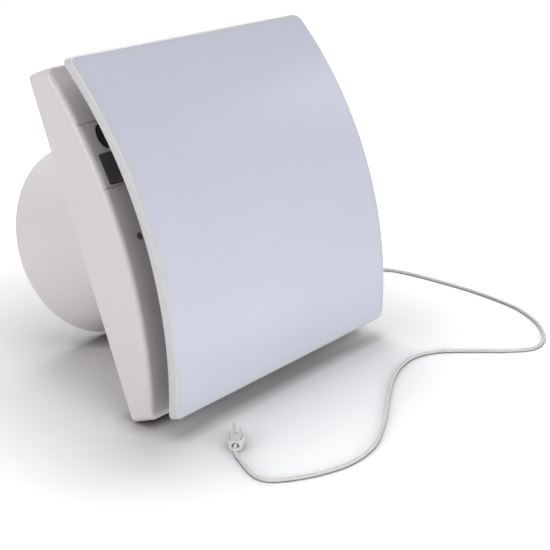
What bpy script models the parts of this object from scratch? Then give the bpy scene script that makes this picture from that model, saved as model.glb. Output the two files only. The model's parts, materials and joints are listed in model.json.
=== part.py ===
"""Exhaust fan for a 100 mm duct: a square arched body, a curved front cover, a round spigot and a pull cord.

The fan lies as if set down on a table: it leans back on its lower rear edge and on the rim of its spigot.
Every piece of the fan is built upright in its own frame (x to the right, y towards the wall, z up, zero at
the middle of the wall face) under one tilted empty. The cord lies on the table, under a level empty.
All sizes are in metres.
"""
import math
from collections import namedtuple

import bmesh
import bpy
from mathutils import Euler, Matrix, Vector

# Clearances
GAP = 0.0003
RUNNING_GAP = 0.00025
TIP_GAP = 0.0016

# Body
BODY_WIDTH = 0.158
BODY_HEIGHT = 0.158
BODY_END_DEPTH = 0.0124
BODY_BULGE = 0.014
BODY_CORNER = 0.003
CASING_WALL = 0.002
CASING_SHOULDER = 0.0025

# Front cover
COVER_WIDTH = 0.160
COVER_HEIGHT = 0.160
COVER_AIR_GAP = 0.0106
COVER_BULGE = 0.0175
COVER_CORNER = 0.004
COVER_EDGE_DEPTH = 0.005
COVER_EDGE_ROUND = 0.0011
COVER_EDGE_WALL = 0.002
COVER_SHEET = 0.0024
PEG_RADIUS = 0.003
PEG_SPREAD_X = 0.084
PEG_EDGE = 0.011
PEG_ENGAGEMENT = 0.0055
SOCKET_WALL = 0.0015
SOCKET_DEPTH = 0.0045

# Back plate
PLATE_THICKNESS = 0.0025
WALL_HOLE_RADIUS = 0.0025
WALL_HOLE_SPREAD_X = 0.048
WALL_HOLE_EDGE = 0.009

# Duct and spigot
SPIGOT_RADIUS = 0.049
SPIGOT_LENGTH = 0.078
SPIGOT_WALL = 0.002
SPIGOT_SIDES = 48
FLANGE_WIDTH = 0.004
FLANGE_THICKNESS = 0.0025
DUCT_LEDGE_HEIGHT = 0.002
DUCT_LEDGE_LENGTH = 0.002
COLLAR_WALL = 0.002
COLLAR_LENGTH = 0.005

# Inlet guard
GUARD_THICKNESS = 0.002
GUARD_BAR = 0.0016
GUARD_RINGS = 3
GUARD_SPOKES = 6
GUARD_HUB_RADIUS = 0.009
GUARD_LIP = 0.0025

# Fan wheel
SHAFT_RADIUS = 0.002
NUT_THICKNESS = 0.0024
NUT_RADIUS = 0.004
GUARD_TO_SHAFT = 0.0006
HUB_RADIUS = 0.020
HUB_LENGTH = 0.022
HUB_WALL = 0.0015
HUB_ROUND = 0.003
BOSS_WALL = 0.0025
BLADE_COUNT = 8
BLADE_AXIAL = 0.014
BLADE_THICKNESS = 0.0014
BLADE_SWEEP_HUB = math.radians(36)
BLADE_SWEEP_TIP = math.radians(42)
BLADE_CAMBER = 0.12
BLADE_EDGE_SHARE = 0.45
BLADE_CHORD_STEPS = 4

# Motor
HUB_TO_MOTOR = 0.003
MOTOR_RADIUS = 0.017
MOTOR_LENGTH = 0.030
MOTOR_WALL = 0.0012
MOTOR_FLOOR = 0.0015
END_CAP_THICKNESS = 0.002
BEARING_RADIUS = 0.005
BEARING_LENGTH = 0.003
ROTOR_RADIUS = 0.009
ROTOR_LENGTH = 0.016
STATOR_LENGTH = 0.014
AIR_GAP = 0.0006
WINDING_LENGTH = 0.0035
WINDING_WALL = 0.004
CUP_WALL = 0.002
CUP_FLOOR = 0.0017
BRACKET_RING_LENGTH = 0.010
BRACKET_RING_WALL = 0.0016
STRUT_COUNT = 4
STRUT_THICKNESS = 0.0022
MOTOR_SCREW_SPREAD = 0.022
MOTOR_SCREW_RADIUS = 0.0012

# Control panel, display and button
PANEL_SIDE_MARGIN = 0.0035
PANEL_WIDTH = 0.0255
PANEL_HEIGHT = 0.0293
PANEL_BELOW_EDGE = 0.0267
PANEL_LIP = 0.001
PANEL_LIP_THICKNESS = 0.0012
DISPLAY_MARGIN = 0.001
DISPLAY_WIDTH = 0.022
DISPLAY_HEIGHT = 0.0134
DISPLAY_RISE = 0.0014
DISPLAY_THICKNESS = 0.0016
MODULE_BORDER = 0.0007
MODULE_TO_WINDOW = 0.0004
BUTTON_HALF_WIDTH = 0.0035
BUTTON_HALF_HEIGHT = 0.0053
BUTTON_INSET = 0.0082
BUTTON_BELOW_TOP = 0.0072
BUTTON_PROUD = 0.0004
BUTTON_LIP = 0.001
BUTTON_LIP_THICKNESS = 0.001
BUTTON_TRAVEL = 0.0008
BUTTON_STEM_RADIUS = 0.0015
SWITCH_WIDTH = 0.006
SWITCH_HEIGHT = 0.0035

# Control board
BOARD_WIDTH = 0.0262
BOARD_HEIGHT = 0.040
BOARD_BELOW_EDGE = 0.015
BOARD_SIDE_GAP = 0.002
BOARD_THICKNESS = 0.0016
POST_HEIGHT = 0.0062
POST_RADIUS = 0.0026
BOARD_EDGE = 0.0034
SCREW_RADIUS = 0.0012
SCREW_HEAD_RADIUS = 0.0022
SCREW_HEAD_HEIGHT = 0.0015
SCREW_BITE = 0.8
RELAY_SIZE = (0.009, 0.005, 0.010)
CAPACITOR_RADIUS = 0.0026
CAPACITOR_LENGTH = 0.011

# Casing screws
CASING_SCREW_INSET = 0.0112
ACCESS_HOLE_RADIUS = 0.00165
BOSS_RADIUS = 0.0038
BOSS_BORE = 0.0024
CASING_SCREW_LENGTH = 0.009

# Mains connection
TERMINAL_WIDTH = 0.024
TERMINAL_HEIGHT = 0.013
TERMINAL_DEPTH = 0.008
TERMINAL_SIDE_GAP = 0.003
TERMINAL_POLES = 3
TERMINAL_PITCH = 0.0075
TERMINAL_HOLE = 0.0019
TERMINAL_WELL = 0.0048
TERMINAL_SCREW_SINK = 0.002
TERMINAL_SCREW_LENGTH = 0.0024
TERMINAL_SCREW_RADIUS = 0.00096
WIRE_WAY_RADIUS = 0.00152
GROMMET_RADIUS = 0.0065
GROMMET_BORE = 0.0045
GROMMET_GROOVE = 0.001
GROMMET_RISE = 0.034
CLAMP_WIDTH = 0.024
CLAMP_BAR = 0.006
CLAMP_THICKNESS = 0.0025
CLAMP_RISE = 0.020
CLAMP_FOOT = 0.003
CLAMP_SCREW_INSET = 0.0035

# Pull switch and cord
PULL_RISE = 0.013
PULL_SETBACK = 0.007
PULL_BODY_LENGTH = 0.020
PULL_BODY_HEIGHT = 0.013
PULL_BODY_DEPTH = 0.0088
PULL_SIDE_GAP = 0.005
PULL_BORE = 0.0030
PULL_WALL = 0.002
STEM_RADIUS = 0.0013
PLUNGER_HEAD = 0.003
SPRING_TURNS = 6
SPRING_STEPS = 8
SPRING_WIRE = 0.00035
BUSH_LIP_RADIUS = 0.0036
BUSH_LIP = 0.0006
BUSH_BODY_RADIUS = 0.0026
BUSH_LENGTH = 0.004
CORD_RADIUS = 0.0008
CORD_POINTS = 80
CURVE_STEPS = 16

# Cord connector
CONNECTOR_X = -0.0718
CONNECTOR_Y = -0.0522
CONNECTOR_HEADING = math.radians(35.6)
CONNECTOR_HEIGHT = 0.0046
CONNECTOR_NOSE = 0.0061
CONNECTOR_WAIST = 0.0050
CONNECTOR_BARB = 0.0077
CONNECTOR_BARB_AT = 0.0079
CONNECTOR_LONG_ARM = 0.0184
CONNECTOR_SHORT_ARM = 0.0135
CONNECTOR_SLOT = 0.0018
KEYHOLE_RADIUS = 0.0015
KEYHOLE_DEPTH = 0.0032
KEYHOLE_HEIGHT = 0.0026
KNOT_RADIUS = 0.00115
KNOT_DEPTH = 0.001265
TABLE_GAP = 0.0001

# The cord's way over the table, from beside the bush to the connector, measured from the middle of the body's
# lower rear edge: x, y and the height of the cord's centre over its lying height.
CORD_ROUTE = (
    (0.0905, -0.0015, 0.0112), (0.0955, -0.0005, 0.0064), (0.0995, 0.0010, 0.0023), (0.1040, 0.0034, 0.0003),
    (0.1100, 0.0072, 0.0), (0.1220, 0.0165, 0.0), (0.1360, 0.0262, 0.0), (0.1490, 0.0318, 0.0),
    (0.1580, 0.0312, 0.0), (0.1640, 0.0252, 0.0), (0.1665, 0.0155, 0.0), (0.1668, 0.0030, 0.0),
    (0.1661, -0.0130, 0.0), (0.1643, -0.0310, 0.0), (0.1612, -0.0465, 0.0), (0.1560, -0.0635, 0.0),
    (0.1493, -0.0750, 0.0), (0.1413, -0.0846, 0.0), (0.1324, -0.0920, 0.0), (0.1230, -0.0969, 0.0),
    (0.1157, -0.0986, 0.0), (0.1098, -0.0981, 0.0), (0.1043, -0.0948, 0.0), (0.0973, -0.0878, 0.0),
    (0.0852, -0.0728, 0.0), (0.0752, -0.0625, 0.0), (0.0639, -0.0575, 0.0), (0.0520, -0.0578, 0.0),
    (0.0359, -0.0625, 0.0), (0.0125, -0.0742, 0.0), (-0.0109, -0.0871, 0.0), (-0.0332, -0.0962, 0.0),
    (-0.0518, -0.0971, 0.0), (-0.0674, -0.0922, 0.0), (-0.0788, -0.0854, 0.0), (-0.0842, -0.0802, 0.0),
    (-0.0855, -0.0752, 0.0), (-0.0840, -0.0703, 0.0), (-0.0814, -0.0654, 0.0), (-0.0787, -0.0609, 0.0002),
)

# Looks: colour, roughness and metallic
SATIN_WHITE = ((0.78, 0.77, 0.77), 0.45, 0.0)
GLOSS_WHITE = ((0.84, 0.85, 0.88), 0.12, 0.0)
NATURAL_WHITE = ((0.82, 0.80, 0.76), 0.5, 0.0)
BLACK_PLASTIC = ((0.015, 0.014, 0.015), 0.3, 0.0)
DARK_GLASS = ((0.045, 0.047, 0.036), 0.15, 0.0)
GREY_PLASTIC = ((0.35, 0.36, 0.37), 0.5, 0.0)
BOARD_GREEN = ((0.03, 0.16, 0.07), 0.4, 0.0)
BLUE_BLACK = ((0.02, 0.03, 0.08), 0.35, 0.0)
STEEL = ((0.55, 0.55, 0.55), 0.3, 1.0)
BRIGHT_STEEL = ((0.72, 0.72, 0.72), 0.2, 1.0)
BRASS = ((0.65, 0.48, 0.20), 0.3, 1.0)
BRONZE = ((0.45, 0.28, 0.14), 0.4, 1.0)
COPPER = ((0.62, 0.26, 0.12), 0.35, 1.0)
RUBBER = ((0.03, 0.03, 0.03), 0.8, 0.0)
CORD_WHITE = ((0.78, 0.77, 0.75), 0.7, 0.0)

COVER_CORNER_STEPS = 5
COVER_SIDE_STEPS = 16
COVER_EDGE_STEPS = 4
CASING_CORNER_STEPS = 2
CASING_SIDE_STEPS = 12
CASING_EDGE_STEPS = 3
COLLAR_STEPS = 16
SMALLEST_CORNER = 0.0004
CUT_EXTRA = 0.002
OVERLAP = 0.0006
ROUND_SIDES = 20
HOLE_SIDES = 12
PEG_SIDES = 16
MOTOR_SIDES = 32
LARGE_SIDES = 20
SMOOTH_ANGLE = math.radians(35)

Arch = namedtuple("Arch", "half end bulge")
BODY_ARCH = Arch(BODY_HEIGHT / 2, BODY_END_DEPTH, BODY_BULGE)
COVER_ARCH = Arch(COVER_HEIGHT / 2, BODY_END_DEPTH + COVER_AIR_GAP, COVER_BULGE)


def arch_radius(arch):
    """Radius of the circle whose chord is the full height and whose rise is the bulge."""
    return (arch.half ** 2 + arch.bulge ** 2) / (2 * arch.bulge)


def arch_depth(arch, z):
    """How far an arched front stands before the wall face at height z."""
    radius = arch_radius(arch)
    return arch.end + math.sqrt(radius ** 2 - z ** 2) - (radius - arch.bulge)


# Places that several pieces share
HALF_WIDTH = BODY_WIDTH / 2
HALF_HEIGHT = BODY_HEIGHT / 2
INNER_HALF = HALF_WIDTH - CASING_WALL
DUCT_BORE = SPIGOT_RADIUS - SPIGOT_WALL
COLLAR_BORE = SPIGOT_RADIUS + GAP
GUARD_FRONT = -(arch_depth(BODY_ARCH, SPIGOT_RADIUS) - CASING_WALL - GAP)
GUARD_REAR = GUARD_FRONT + GUARD_THICKNESS
DUCT_FRONT = GUARD_REAR + GAP
SHAFT_FRONT = GUARD_REAR + GUARD_TO_SHAFT
NUT_REAR = SHAFT_FRONT + GAP + NUT_THICKNESS
HUB_FRONT = NUT_REAR + GAP
HUB_REAR = HUB_FRONT + HUB_LENGTH
CAP_FRONT = HUB_REAR + HUB_TO_MOTOR
CAN_FRONT = CAP_FRONT + END_CAP_THICKNESS + GAP
CAN_REAR = CAN_FRONT + MOTOR_LENGTH
CUP_REAR = CAN_REAR + GAP + CUP_FLOOR
MOTOR_MIDDLE = (CAN_FRONT + CAN_REAR - MOTOR_FLOOR) / 2
BEARING_SEAT = BEARING_RADIUS + GAP
CUP_BORE = MOTOR_RADIUS + GAP
CUP_RADIUS = CUP_BORE + CUP_WALL
BRACKET_REAR = (CAN_FRONT + CAN_REAR + BRACKET_RING_LENGTH) / 2
BRACKET_RADIUS = DUCT_BORE - GAP
BLADE_TIP = DUCT_BORE - TIP_GAP
PLATE_FRONT = -PLATE_THICKNESS
PEG_SPREAD_Z = BODY_HEIGHT - 2 * PEG_EDGE
WALL_HOLE_SPREAD_Z = BODY_HEIGHT - 2 * WALL_HOLE_EDGE
SEAT = PLATE_FRONT - GAP
BOARD_REAR = PLATE_FRONT - POST_HEIGHT - GAP
BOARD_FRONT = BOARD_REAR - BOARD_THICKNESS
BOARD_SEAT = BOARD_FRONT - GAP
BOARD_LEFT = -INNER_HALF + BOARD_SIDE_GAP
BOARD_TOP = HALF_HEIGHT - BOARD_BELOW_EDGE
BOARD_BOTTOM = BOARD_TOP - BOARD_HEIGHT
PANEL_LEFT = -HALF_WIDTH + PANEL_SIDE_MARGIN
PANEL_RIGHT = PANEL_LEFT + PANEL_WIDTH
PANEL_TOP = HALF_HEIGHT - PANEL_BELOW_EDGE
PANEL_BOTTOM = PANEL_TOP - PANEL_HEIGHT
DISPLAY_LEFT = PANEL_LEFT + DISPLAY_MARGIN
DISPLAY_BOTTOM = PANEL_BOTTOM + DISPLAY_RISE
BUTTON_X = PANEL_LEFT + BUTTON_INSET
BUTTON_Z = PANEL_TOP - BUTTON_BELOW_TOP
CASING_SCREW_X = HALF_WIDTH - CASING_SCREW_INSET
CASING_SCREW_SEAT = PLATE_FRONT + PLATE_THICKNESS - CASING_SCREW_LENGTH
PULL_Z = -HALF_HEIGHT + PULL_RISE
PULL_Y = -PULL_SETBACK
PULL_BODY_RIGHT = INNER_HALF - PULL_SIDE_GAP
BUSH_FACE = HALF_WIDTH + BUSH_LIP
STEM_END = BUSH_FACE + GAP
CORD_LIE = CORD_RADIUS + TABLE_GAP

# The fan leans until the flat under its spigot rim meets the table
RIM_DROP = SPIGOT_RADIUS * math.cos(math.pi / SPIGOT_SIDES)
LEAN = math.atan2(HALF_HEIGHT - RIM_DROP, SPIGOT_LENGTH)


def on_table(x, y, z):
    """A point of the upright fan as it lies, measured from the middle of the body's lower rear edge."""
    rise = z + HALF_HEIGHT
    return (x, y * math.cos(LEAN) + rise * math.sin(LEAN), rise * math.cos(LEAN) - y * math.sin(LEAN))


def frontmost():
    """The lying fan's smallest y: where the arch of the cover turns upright, or the cover's lower edge."""
    radius = arch_radius(COVER_ARCH)
    front = COVER_ARCH._replace(end=COVER_ARCH.end + COVER_EDGE_DEPTH)
    z = -min(radius * math.sin(LEAN), COVER_ARCH.half - COVER_EDGE_ROUND)
    return on_table(0, -arch_depth(front, z), z)[1]


REARMOST = on_table(0, SPIGOT_LENGTH, RIM_DROP)[1]
MIDDLE = (frontmost() + REARMOST) / 2


def clear_scene():
    for obj in list(bpy.data.objects):
        bpy.data.objects.remove(obj, do_unlink=True)


def add_empty(name, location, rotation=(0, 0, 0)):
    empty = bpy.data.objects.new(name, None)
    empty.empty_display_size = 0.02
    empty.location = location
    empty.rotation_euler = rotation
    bpy.context.scene.collection.objects.link(empty)
    return empty


def add_material(obj, look):
    colour, roughness, metallic = look
    material = bpy.data.materials.new(obj.name + "_material")
    material.use_nodes = True
    shader = material.node_tree.nodes["Principled BSDF"]
    shader.inputs["Base Color"].default_value = (*colour, 1)
    shader.inputs["Roughness"].default_value = roughness
    shader.inputs["Metallic"].default_value = metallic
    material.diffuse_color = (*colour, 1)
    obj.data.materials.append(material)


def add_object(name, bm, parent, look=None, location=(0, 0, 0), rotation=(0, 0, 0)):
    """A mesh object from a finished bmesh. Without a look it is a tool for a Boolean and stays hidden."""
    bmesh.ops.recalc_face_normals(bm, faces=bm.faces)
    mesh = bpy.data.meshes.new(name)
    bm.to_mesh(mesh)
    bm.free()
    obj = bpy.data.objects.new(name, mesh)
    bpy.context.scene.collection.objects.link(obj)
    obj.parent = parent
    obj.location = location
    obj.rotation_euler = rotation
    if look is None:
        obj.hide_render = True
        obj.display_type = "WIRE"
    else:
        add_material(obj, look)
        mesh.shade_smooth()
        mesh.set_sharp_from_angle(angle=SMOOTH_ANGLE)
    return obj


def combine(target, tool, operation):
    modifier = target.modifiers.new(tool.name, "BOOLEAN")
    modifier.operation = operation
    modifier.solver = "EXACT"
    modifier.object = tool


def cut(target, *tools):
    for tool in tools:
        combine(target, tool, "DIFFERENCE")


def join(target, *tools):
    for tool in tools:
        combine(target, tool, "UNION")


def prism(outline, low, high, place):
    """An outline of pairs pushed from low to high; place turns (a, b, height) into a point."""
    bm = bmesh.new()
    floor = [bm.verts.new(place(a, b, low)) for a, b in outline]
    roof = [bm.verts.new(place(a, b, high)) for a, b in outline]
    bm.faces.new(floor)
    bm.faces.new(roof)
    count = len(outline)
    for i in range(count):
        j = (i + 1) % count
        bm.faces.new((floor[i], floor[j], roof[j], roof[i]))
    return bm


def block(x_span, y_span, z_span):
    left, right = x_span
    low, high = z_span
    outline = ((left, low), (right, low), (right, high), (left, high))
    return prism(outline, *y_span, lambda a, b, h: (a, h, b))


def circle(radius, sides):
    """Points of a round outline with flats at its lowest, highest and outermost places."""
    angles = [2 * math.pi * (i + 0.5) / sides for i in range(sides)]
    return [(radius * math.sin(a), -radius * math.cos(a)) for a in angles]


def rod(radius, front, rear, x=0.0, z=0.0, sides=ROUND_SIDES):
    """A round bar along y."""
    return oval_rod(radius, radius, front, rear, x, z, sides)


def oval_rod(half_width, half_height, front, rear, x=0.0, z=0.0, sides=ROUND_SIDES):
    """A bar along y with an upright oval outline."""
    outline = [(x + a * half_width, z + b * half_height) for a, b in circle(1, sides)]
    return prism(outline, front, rear, lambda a, b, h: (a, h, b))


def cross_rod(radius, left, right, y, z, sides=ROUND_SIDES):
    """A round bar along x."""
    outline = [(y + a, z + b) for a, b in circle(radius, sides)]
    return prism(outline, left, right, lambda a, b, h: (h, a, b))


def turned(profile, sides=ROUND_SIDES, ring=True):
    """A profile of (radius, y) turned about the y axis. A ring's profile closes on itself, others end on
    the axis."""
    bm = bmesh.new()
    rows = []
    for radius, y in profile:
        if radius == 0:
            rows.append([bm.verts.new((0, y, 0))] * sides)
        else:
            rows.append([bm.verts.new((a, y, b)) for a, b in circle(radius, sides)])
    pairs = list(zip(rows, rows[1:]))
    if ring:
        pairs.append((rows[-1], rows[0]))
    for first, second in pairs:
        for i in range(sides):
            j = (i + 1) % sides
            corners = list(dict.fromkeys((first[i], first[j], second[j], second[i])))
            bm.faces.new(corners)
    return bm


def turned_along_x(profile, sides=ROUND_SIDES, ring=True):
    """The same, about the x axis: the profile is (radius, x)."""
    bm = turned(profile, sides, ring)
    turn = Matrix.Rotation(math.radians(-90), 4, "Z")
    bmesh.ops.transform(bm, matrix=turn, verts=bm.verts)
    return bm


def arched_slab(x_span, z_span, front, back, arch=BODY_ARCH, steps=8):
    """A slab that follows an arch: front and back are depths before it, negative behind it."""
    levels = [z_span[0] + (z_span[1] - z_span[0]) * i / steps for i in range(steps + 1)]
    near = [(-(arch_depth(arch, z) + front), z) for z in levels]
    far = [(-(arch_depth(arch, z) + back), z) for z in reversed(levels)]
    return prism(near + far, *x_span, lambda a, b, h: (h, a, b))


def outline_right(width, height, corner, inset, corner_steps, side_steps):
    """The right half of a rounded rectangle, from its lower to its upper edge."""
    half_w = width / 2 - inset
    half_h = height / 2 - inset
    radius = max(corner - inset, SMALLEST_CORNER)
    turn = [math.radians(90) * i / corner_steps for i in range(corner_steps + 1)]
    lower = [(half_w - radius + radius * math.sin(a), radius - half_h - radius * math.cos(a)) for a in turn]
    upper = [(half_w - radius + radius * math.cos(a), half_h - radius + radius * math.sin(a)) for a in turn]
    run = 2 * (half_h - radius)
    side = [(half_w, radius - half_h + run * i / side_steps) for i in range(1, side_steps)]
    return lower + side + upper


def tray(width, height, corner, rings, corner_steps, side_steps):
    """A shell with a rounded outline: rings of (inset, depth at z) run from the middle of its front, round its
    edge and back to the middle of its inside. Strips across the width close both ends."""
    bm = bmesh.new()
    loops = []
    for inset, depth in rings:
        right = outline_right(width, height, corner, inset, corner_steps, side_steps)
        points = right + [(-x, z) for x, z in reversed(right)]
        loops.append([bm.verts.new((x, -depth(z), z)) for x, z in points])
    count = len(loops[0])
    for first, second in zip(loops, loops[1:]):
        for i in range(count):
            j = (i + 1) % count
            bm.faces.new((first[i], first[j], second[j], second[i]))
    for loop in (loops[0], loops[-1]):
        for i in range(count // 2 - 1):
            bm.faces.new((loop[i], loop[i + 1], loop[count - 2 - i], loop[count - 1 - i]))
    return bm


def rounded_edge(arch, before, radius, steps):
    """Rings that turn from an arched front over to its side with a round edge."""
    rings = []
    for i in range(steps + 1):
        angle = math.radians(90) * i / steps
        inset = radius * (1 - math.sin(angle))
        drop = radius * (1 - math.cos(angle))
        rings.append((inset, lambda z, d=drop: arch_depth(arch, z) + before - d))
    return rings


def corners_of(spread_x, spread_z):
    return [(x, z) for x in (-spread_x / 2, spread_x / 2) for z in (-spread_z / 2, spread_z / 2)]


def screw_profile(head_radius, head_height, shank_radius, shank_length):
    """A pan-head screw that points along +y, its head's underside at zero, with a drive recess."""
    recess = shank_radius * 0.8
    return (
        (0, -head_height * 0.45), (recess, -head_height * 0.45), (recess * 1.1, -head_height),
        (head_radius * 0.75, -head_height), (head_radius, -head_height * 0.5), (head_radius, 0),
        (shank_radius, 0), (shank_radius, shank_length - shank_radius), (0, shank_length),
    )


def add_screw(name, parent, place, head_radius, head_height, shank_radius, shank_length, look, turn=0):
    profile = screw_profile(head_radius, head_height, shank_radius, shank_length)
    return add_object(name, turned(profile, HOLE_SIDES, ring=False), parent, look, place, (turn, 0, 0))


def make_front_casing(fan):
    arch = BODY_ARCH
    rings = rounded_edge(arch, 0, CASING_SHOULDER, CASING_EDGE_STEPS)
    rings += [
        (0, lambda z: 0),
        (CASING_WALL, lambda z: 0),
        (CASING_WALL, lambda z: arch_depth(arch, z) - CASING_WALL),
    ]
    shell = tray(BODY_WIDTH, BODY_HEIGHT, BODY_CORNER, rings, CASING_CORNER_STEPS, CASING_SIDE_STEPS)
    casing = add_object("front_casing", shell, fan, SATIN_WHITE)

    collar_radius = COLLAR_BORE + COLLAR_WALL
    collar_rear = GUARD_REAR + COLLAR_LENGTH
    foremost = -arch.end - arch.bulge
    collar = turned(ring_profile(COLLAR_BORE, collar_radius, foremost, collar_rear), SPIGOT_SIDES)
    collar = add_object("casing_collar", collar, fan)
    reach = collar_radius + CUT_EXTRA
    inside = arched_slab((-reach, reach), (-reach, reach), -CASING_WALL / 2, -arch.end, steps=COLLAR_STEPS)
    combine(collar, add_object("collar_limit", inside, fan), "INTERSECT")
    join(casing, collar)
    inlet = rod(DUCT_BORE - GAP, foremost - CUT_EXTRA, 0, sides=SPIGOT_SIDES)
    cut(casing, add_object("inlet_cut", inlet, fan))

    for number, (x, z) in enumerate(corners_of(PEG_SPREAD_X, PEG_SPREAD_Z)):
        front = -arch_depth(arch, z)
        bore = PEG_RADIUS + GAP
        socket = rod(bore + SOCKET_WALL, front + CASING_WALL / 2, front + SOCKET_DEPTH, x, z, PEG_SIDES)
        join(casing, add_object(f"socket_{number}", socket, fan))
        hole = rod(bore, front - CUT_EXTRA, front + SOCKET_DEPTH + CUT_EXTRA, x, z, PEG_SIDES)
        cut(casing, add_object(f"socket_hole_{number}", hole, fan))

    for number, x in enumerate((-CASING_SCREW_X, CASING_SCREW_X)):
        boss = rod(BOSS_RADIUS, foremost + CASING_WALL / 2, SEAT, x)
        join(casing, add_object(f"screw_boss_{number}", boss, fan))
        bores = (
            rod(ACCESS_HOLE_RADIUS, foremost - CUT_EXTRA, SEAT + CUT_EXTRA, x, sides=HOLE_SIDES),
            rod(BOSS_BORE, foremost + CASING_WALL, CASING_SCREW_SEAT, x),
        )
        for step, bore in enumerate(bores):
            cut(casing, add_object(f"screw_bore_{number}_{step}", bore, fan))

    window = block((PANEL_LEFT, PANEL_RIGHT), (foremost, -arch.end), (PANEL_BOTTOM, PANEL_TOP))
    cut(casing, add_object("panel_opening", window, fan))
    bush_hole = cross_rod(BUSH_BODY_RADIUS + GAP, INNER_HALF - CUT_EXTRA, HALF_WIDTH + CUT_EXTRA, PULL_Y,
                          PULL_Z)
    cut(casing, add_object("bush_hole", bush_hole, fan))


def make_casing_screws(fan):
    for side, x in (("left", -CASING_SCREW_X), ("right", CASING_SCREW_X)):
        add_screw(f"casing_screw_{side}", fan, (x, CASING_SCREW_SEAT - GAP, 0), BOSS_BORE - GAP,
                  SCREW_HEAD_HEIGHT, ACCESS_HOLE_RADIUS - GAP, CASING_SCREW_LENGTH, BRIGHT_STEEL)


def post_places():
    left = BOARD_LEFT + BOARD_EDGE
    right = BOARD_LEFT + BOARD_WIDTH - BOARD_EDGE
    height = BOARD_TOP - BOARD_EDGE
    return ((left, height), (right, height))


def terminal_middle():
    x = -INNER_HALF + TERMINAL_SIDE_GAP + TERMINAL_WIDTH / 2
    z = -HALF_HEIGHT + CASING_WALL + TERMINAL_SIDE_GAP + TERMINAL_HEIGHT / 2
    return x, z


def clamp_middle():
    x, z = terminal_middle()
    return x, z + CLAMP_RISE


def grommet_place():
    x, z = terminal_middle()
    return x, z + GROMMET_RISE


def clamp_screw_places():
    x, z = clamp_middle()
    reach = CLAMP_WIDTH / 2 - CLAMP_SCREW_INSET
    return ((x - reach, z), (x + reach, z))


def make_back_plate(fan):
    half_w = INNER_HALF - GAP
    half_h = HALF_HEIGHT - CASING_WALL - GAP
    plate = block((-half_w, half_w), (PLATE_FRONT, 0), (-half_h, half_h))
    edges = [e for e in plate.edges if abs(e.verts[0].co.y - e.verts[1].co.y) > PLATE_THICKNESS / 2]
    bmesh.ops.bevel(plate, geom=edges, offset=BODY_CORNER - CASING_WALL, segments=2, affect="EDGES")
    plate = add_object("back_plate", plate, fan, SATIN_WHITE)
    duct_hole = rod(SPIGOT_RADIUS + GAP, PLATE_FRONT - CUT_EXTRA, CUT_EXTRA, sides=SPIGOT_SIDES)
    cut(plate, add_object("duct_hole", duct_hole, fan))
    for number, (x, z) in enumerate(corners_of(WALL_HOLE_SPREAD_X, WALL_HOLE_SPREAD_Z)):
        hole = rod(WALL_HOLE_RADIUS, PLATE_FRONT - CUT_EXTRA, CUT_EXTRA, x, z, sides=HOLE_SIDES)
        cut(plate, add_object(f"wall_hole_{number}", hole, fan))
    for number, (x, z) in enumerate(post_places()):
        post = rod(POST_RADIUS, PLATE_FRONT - POST_HEIGHT, PLATE_FRONT + OVERLAP, x, z)
        join(plate, add_object(f"board_post_{number}", post, fan))
        hole = rod(SCREW_RADIUS + GAP, PLATE_FRONT - POST_HEIGHT - CUT_EXTRA, PLATE_FRONT, x, z, HOLE_SIDES)
        cut(plate, add_object(f"board_post_hole_{number}", hole, fan))
    for number, (x, z) in enumerate(clamp_screw_places()):
        foot = rod(CLAMP_SCREW_INSET - GAP, PLATE_FRONT - CLAMP_FOOT, PLATE_FRONT + OVERLAP, x, z)
        join(plate, add_object(f"clamp_foot_{number}", foot, fan))
        hole = rod(SCREW_RADIUS + GAP, PLATE_FRONT - CLAMP_FOOT - CUT_EXTRA, PLATE_FRONT, x, z, HOLE_SIDES)
        cut(plate, add_object(f"clamp_foot_hole_{number}", hole, fan))
    for number, x in enumerate((-CASING_SCREW_X, CASING_SCREW_X)):
        hole = rod(ACCESS_HOLE_RADIUS, PLATE_FRONT - CUT_EXTRA, CUT_EXTRA, x, sides=HOLE_SIDES)
        cut(plate, add_object(f"casing_screw_hole_{number}", hole, fan))
    x, z = grommet_place()
    hole = rod(GROMMET_RADIUS, PLATE_FRONT - CUT_EXTRA, CUT_EXTRA, x, z)
    cut(plate, add_object("cable_hole", hole, fan))


def make_duct_spigot(fan):
    flange = SPIGOT_RADIUS + FLANGE_WIDTH
    ledge = DUCT_BORE - DUCT_LEDGE_HEIGHT
    ledge_front = BRACKET_REAR + GAP
    profile = (
        (DUCT_BORE, DUCT_FRONT), (SPIGOT_RADIUS, DUCT_FRONT), (SPIGOT_RADIUS, SEAT - FLANGE_THICKNESS),
        (flange, SEAT - FLANGE_THICKNESS), (flange, SEAT), (SPIGOT_RADIUS, SEAT),
        (SPIGOT_RADIUS, SPIGOT_LENGTH), (DUCT_BORE, SPIGOT_LENGTH),
        (DUCT_BORE, ledge_front + DUCT_LEDGE_LENGTH + DUCT_LEDGE_HEIGHT),
        (ledge, ledge_front + DUCT_LEDGE_LENGTH), (ledge, ledge_front), (DUCT_BORE, ledge_front),
    )
    add_object("duct_spigot", turned(profile, SPIGOT_SIDES), fan, SATIN_WHITE)


def ring_profile(inner, outer, front, rear):
    return ((inner, front), (outer, front), (outer, rear), (inner, rear))


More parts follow.
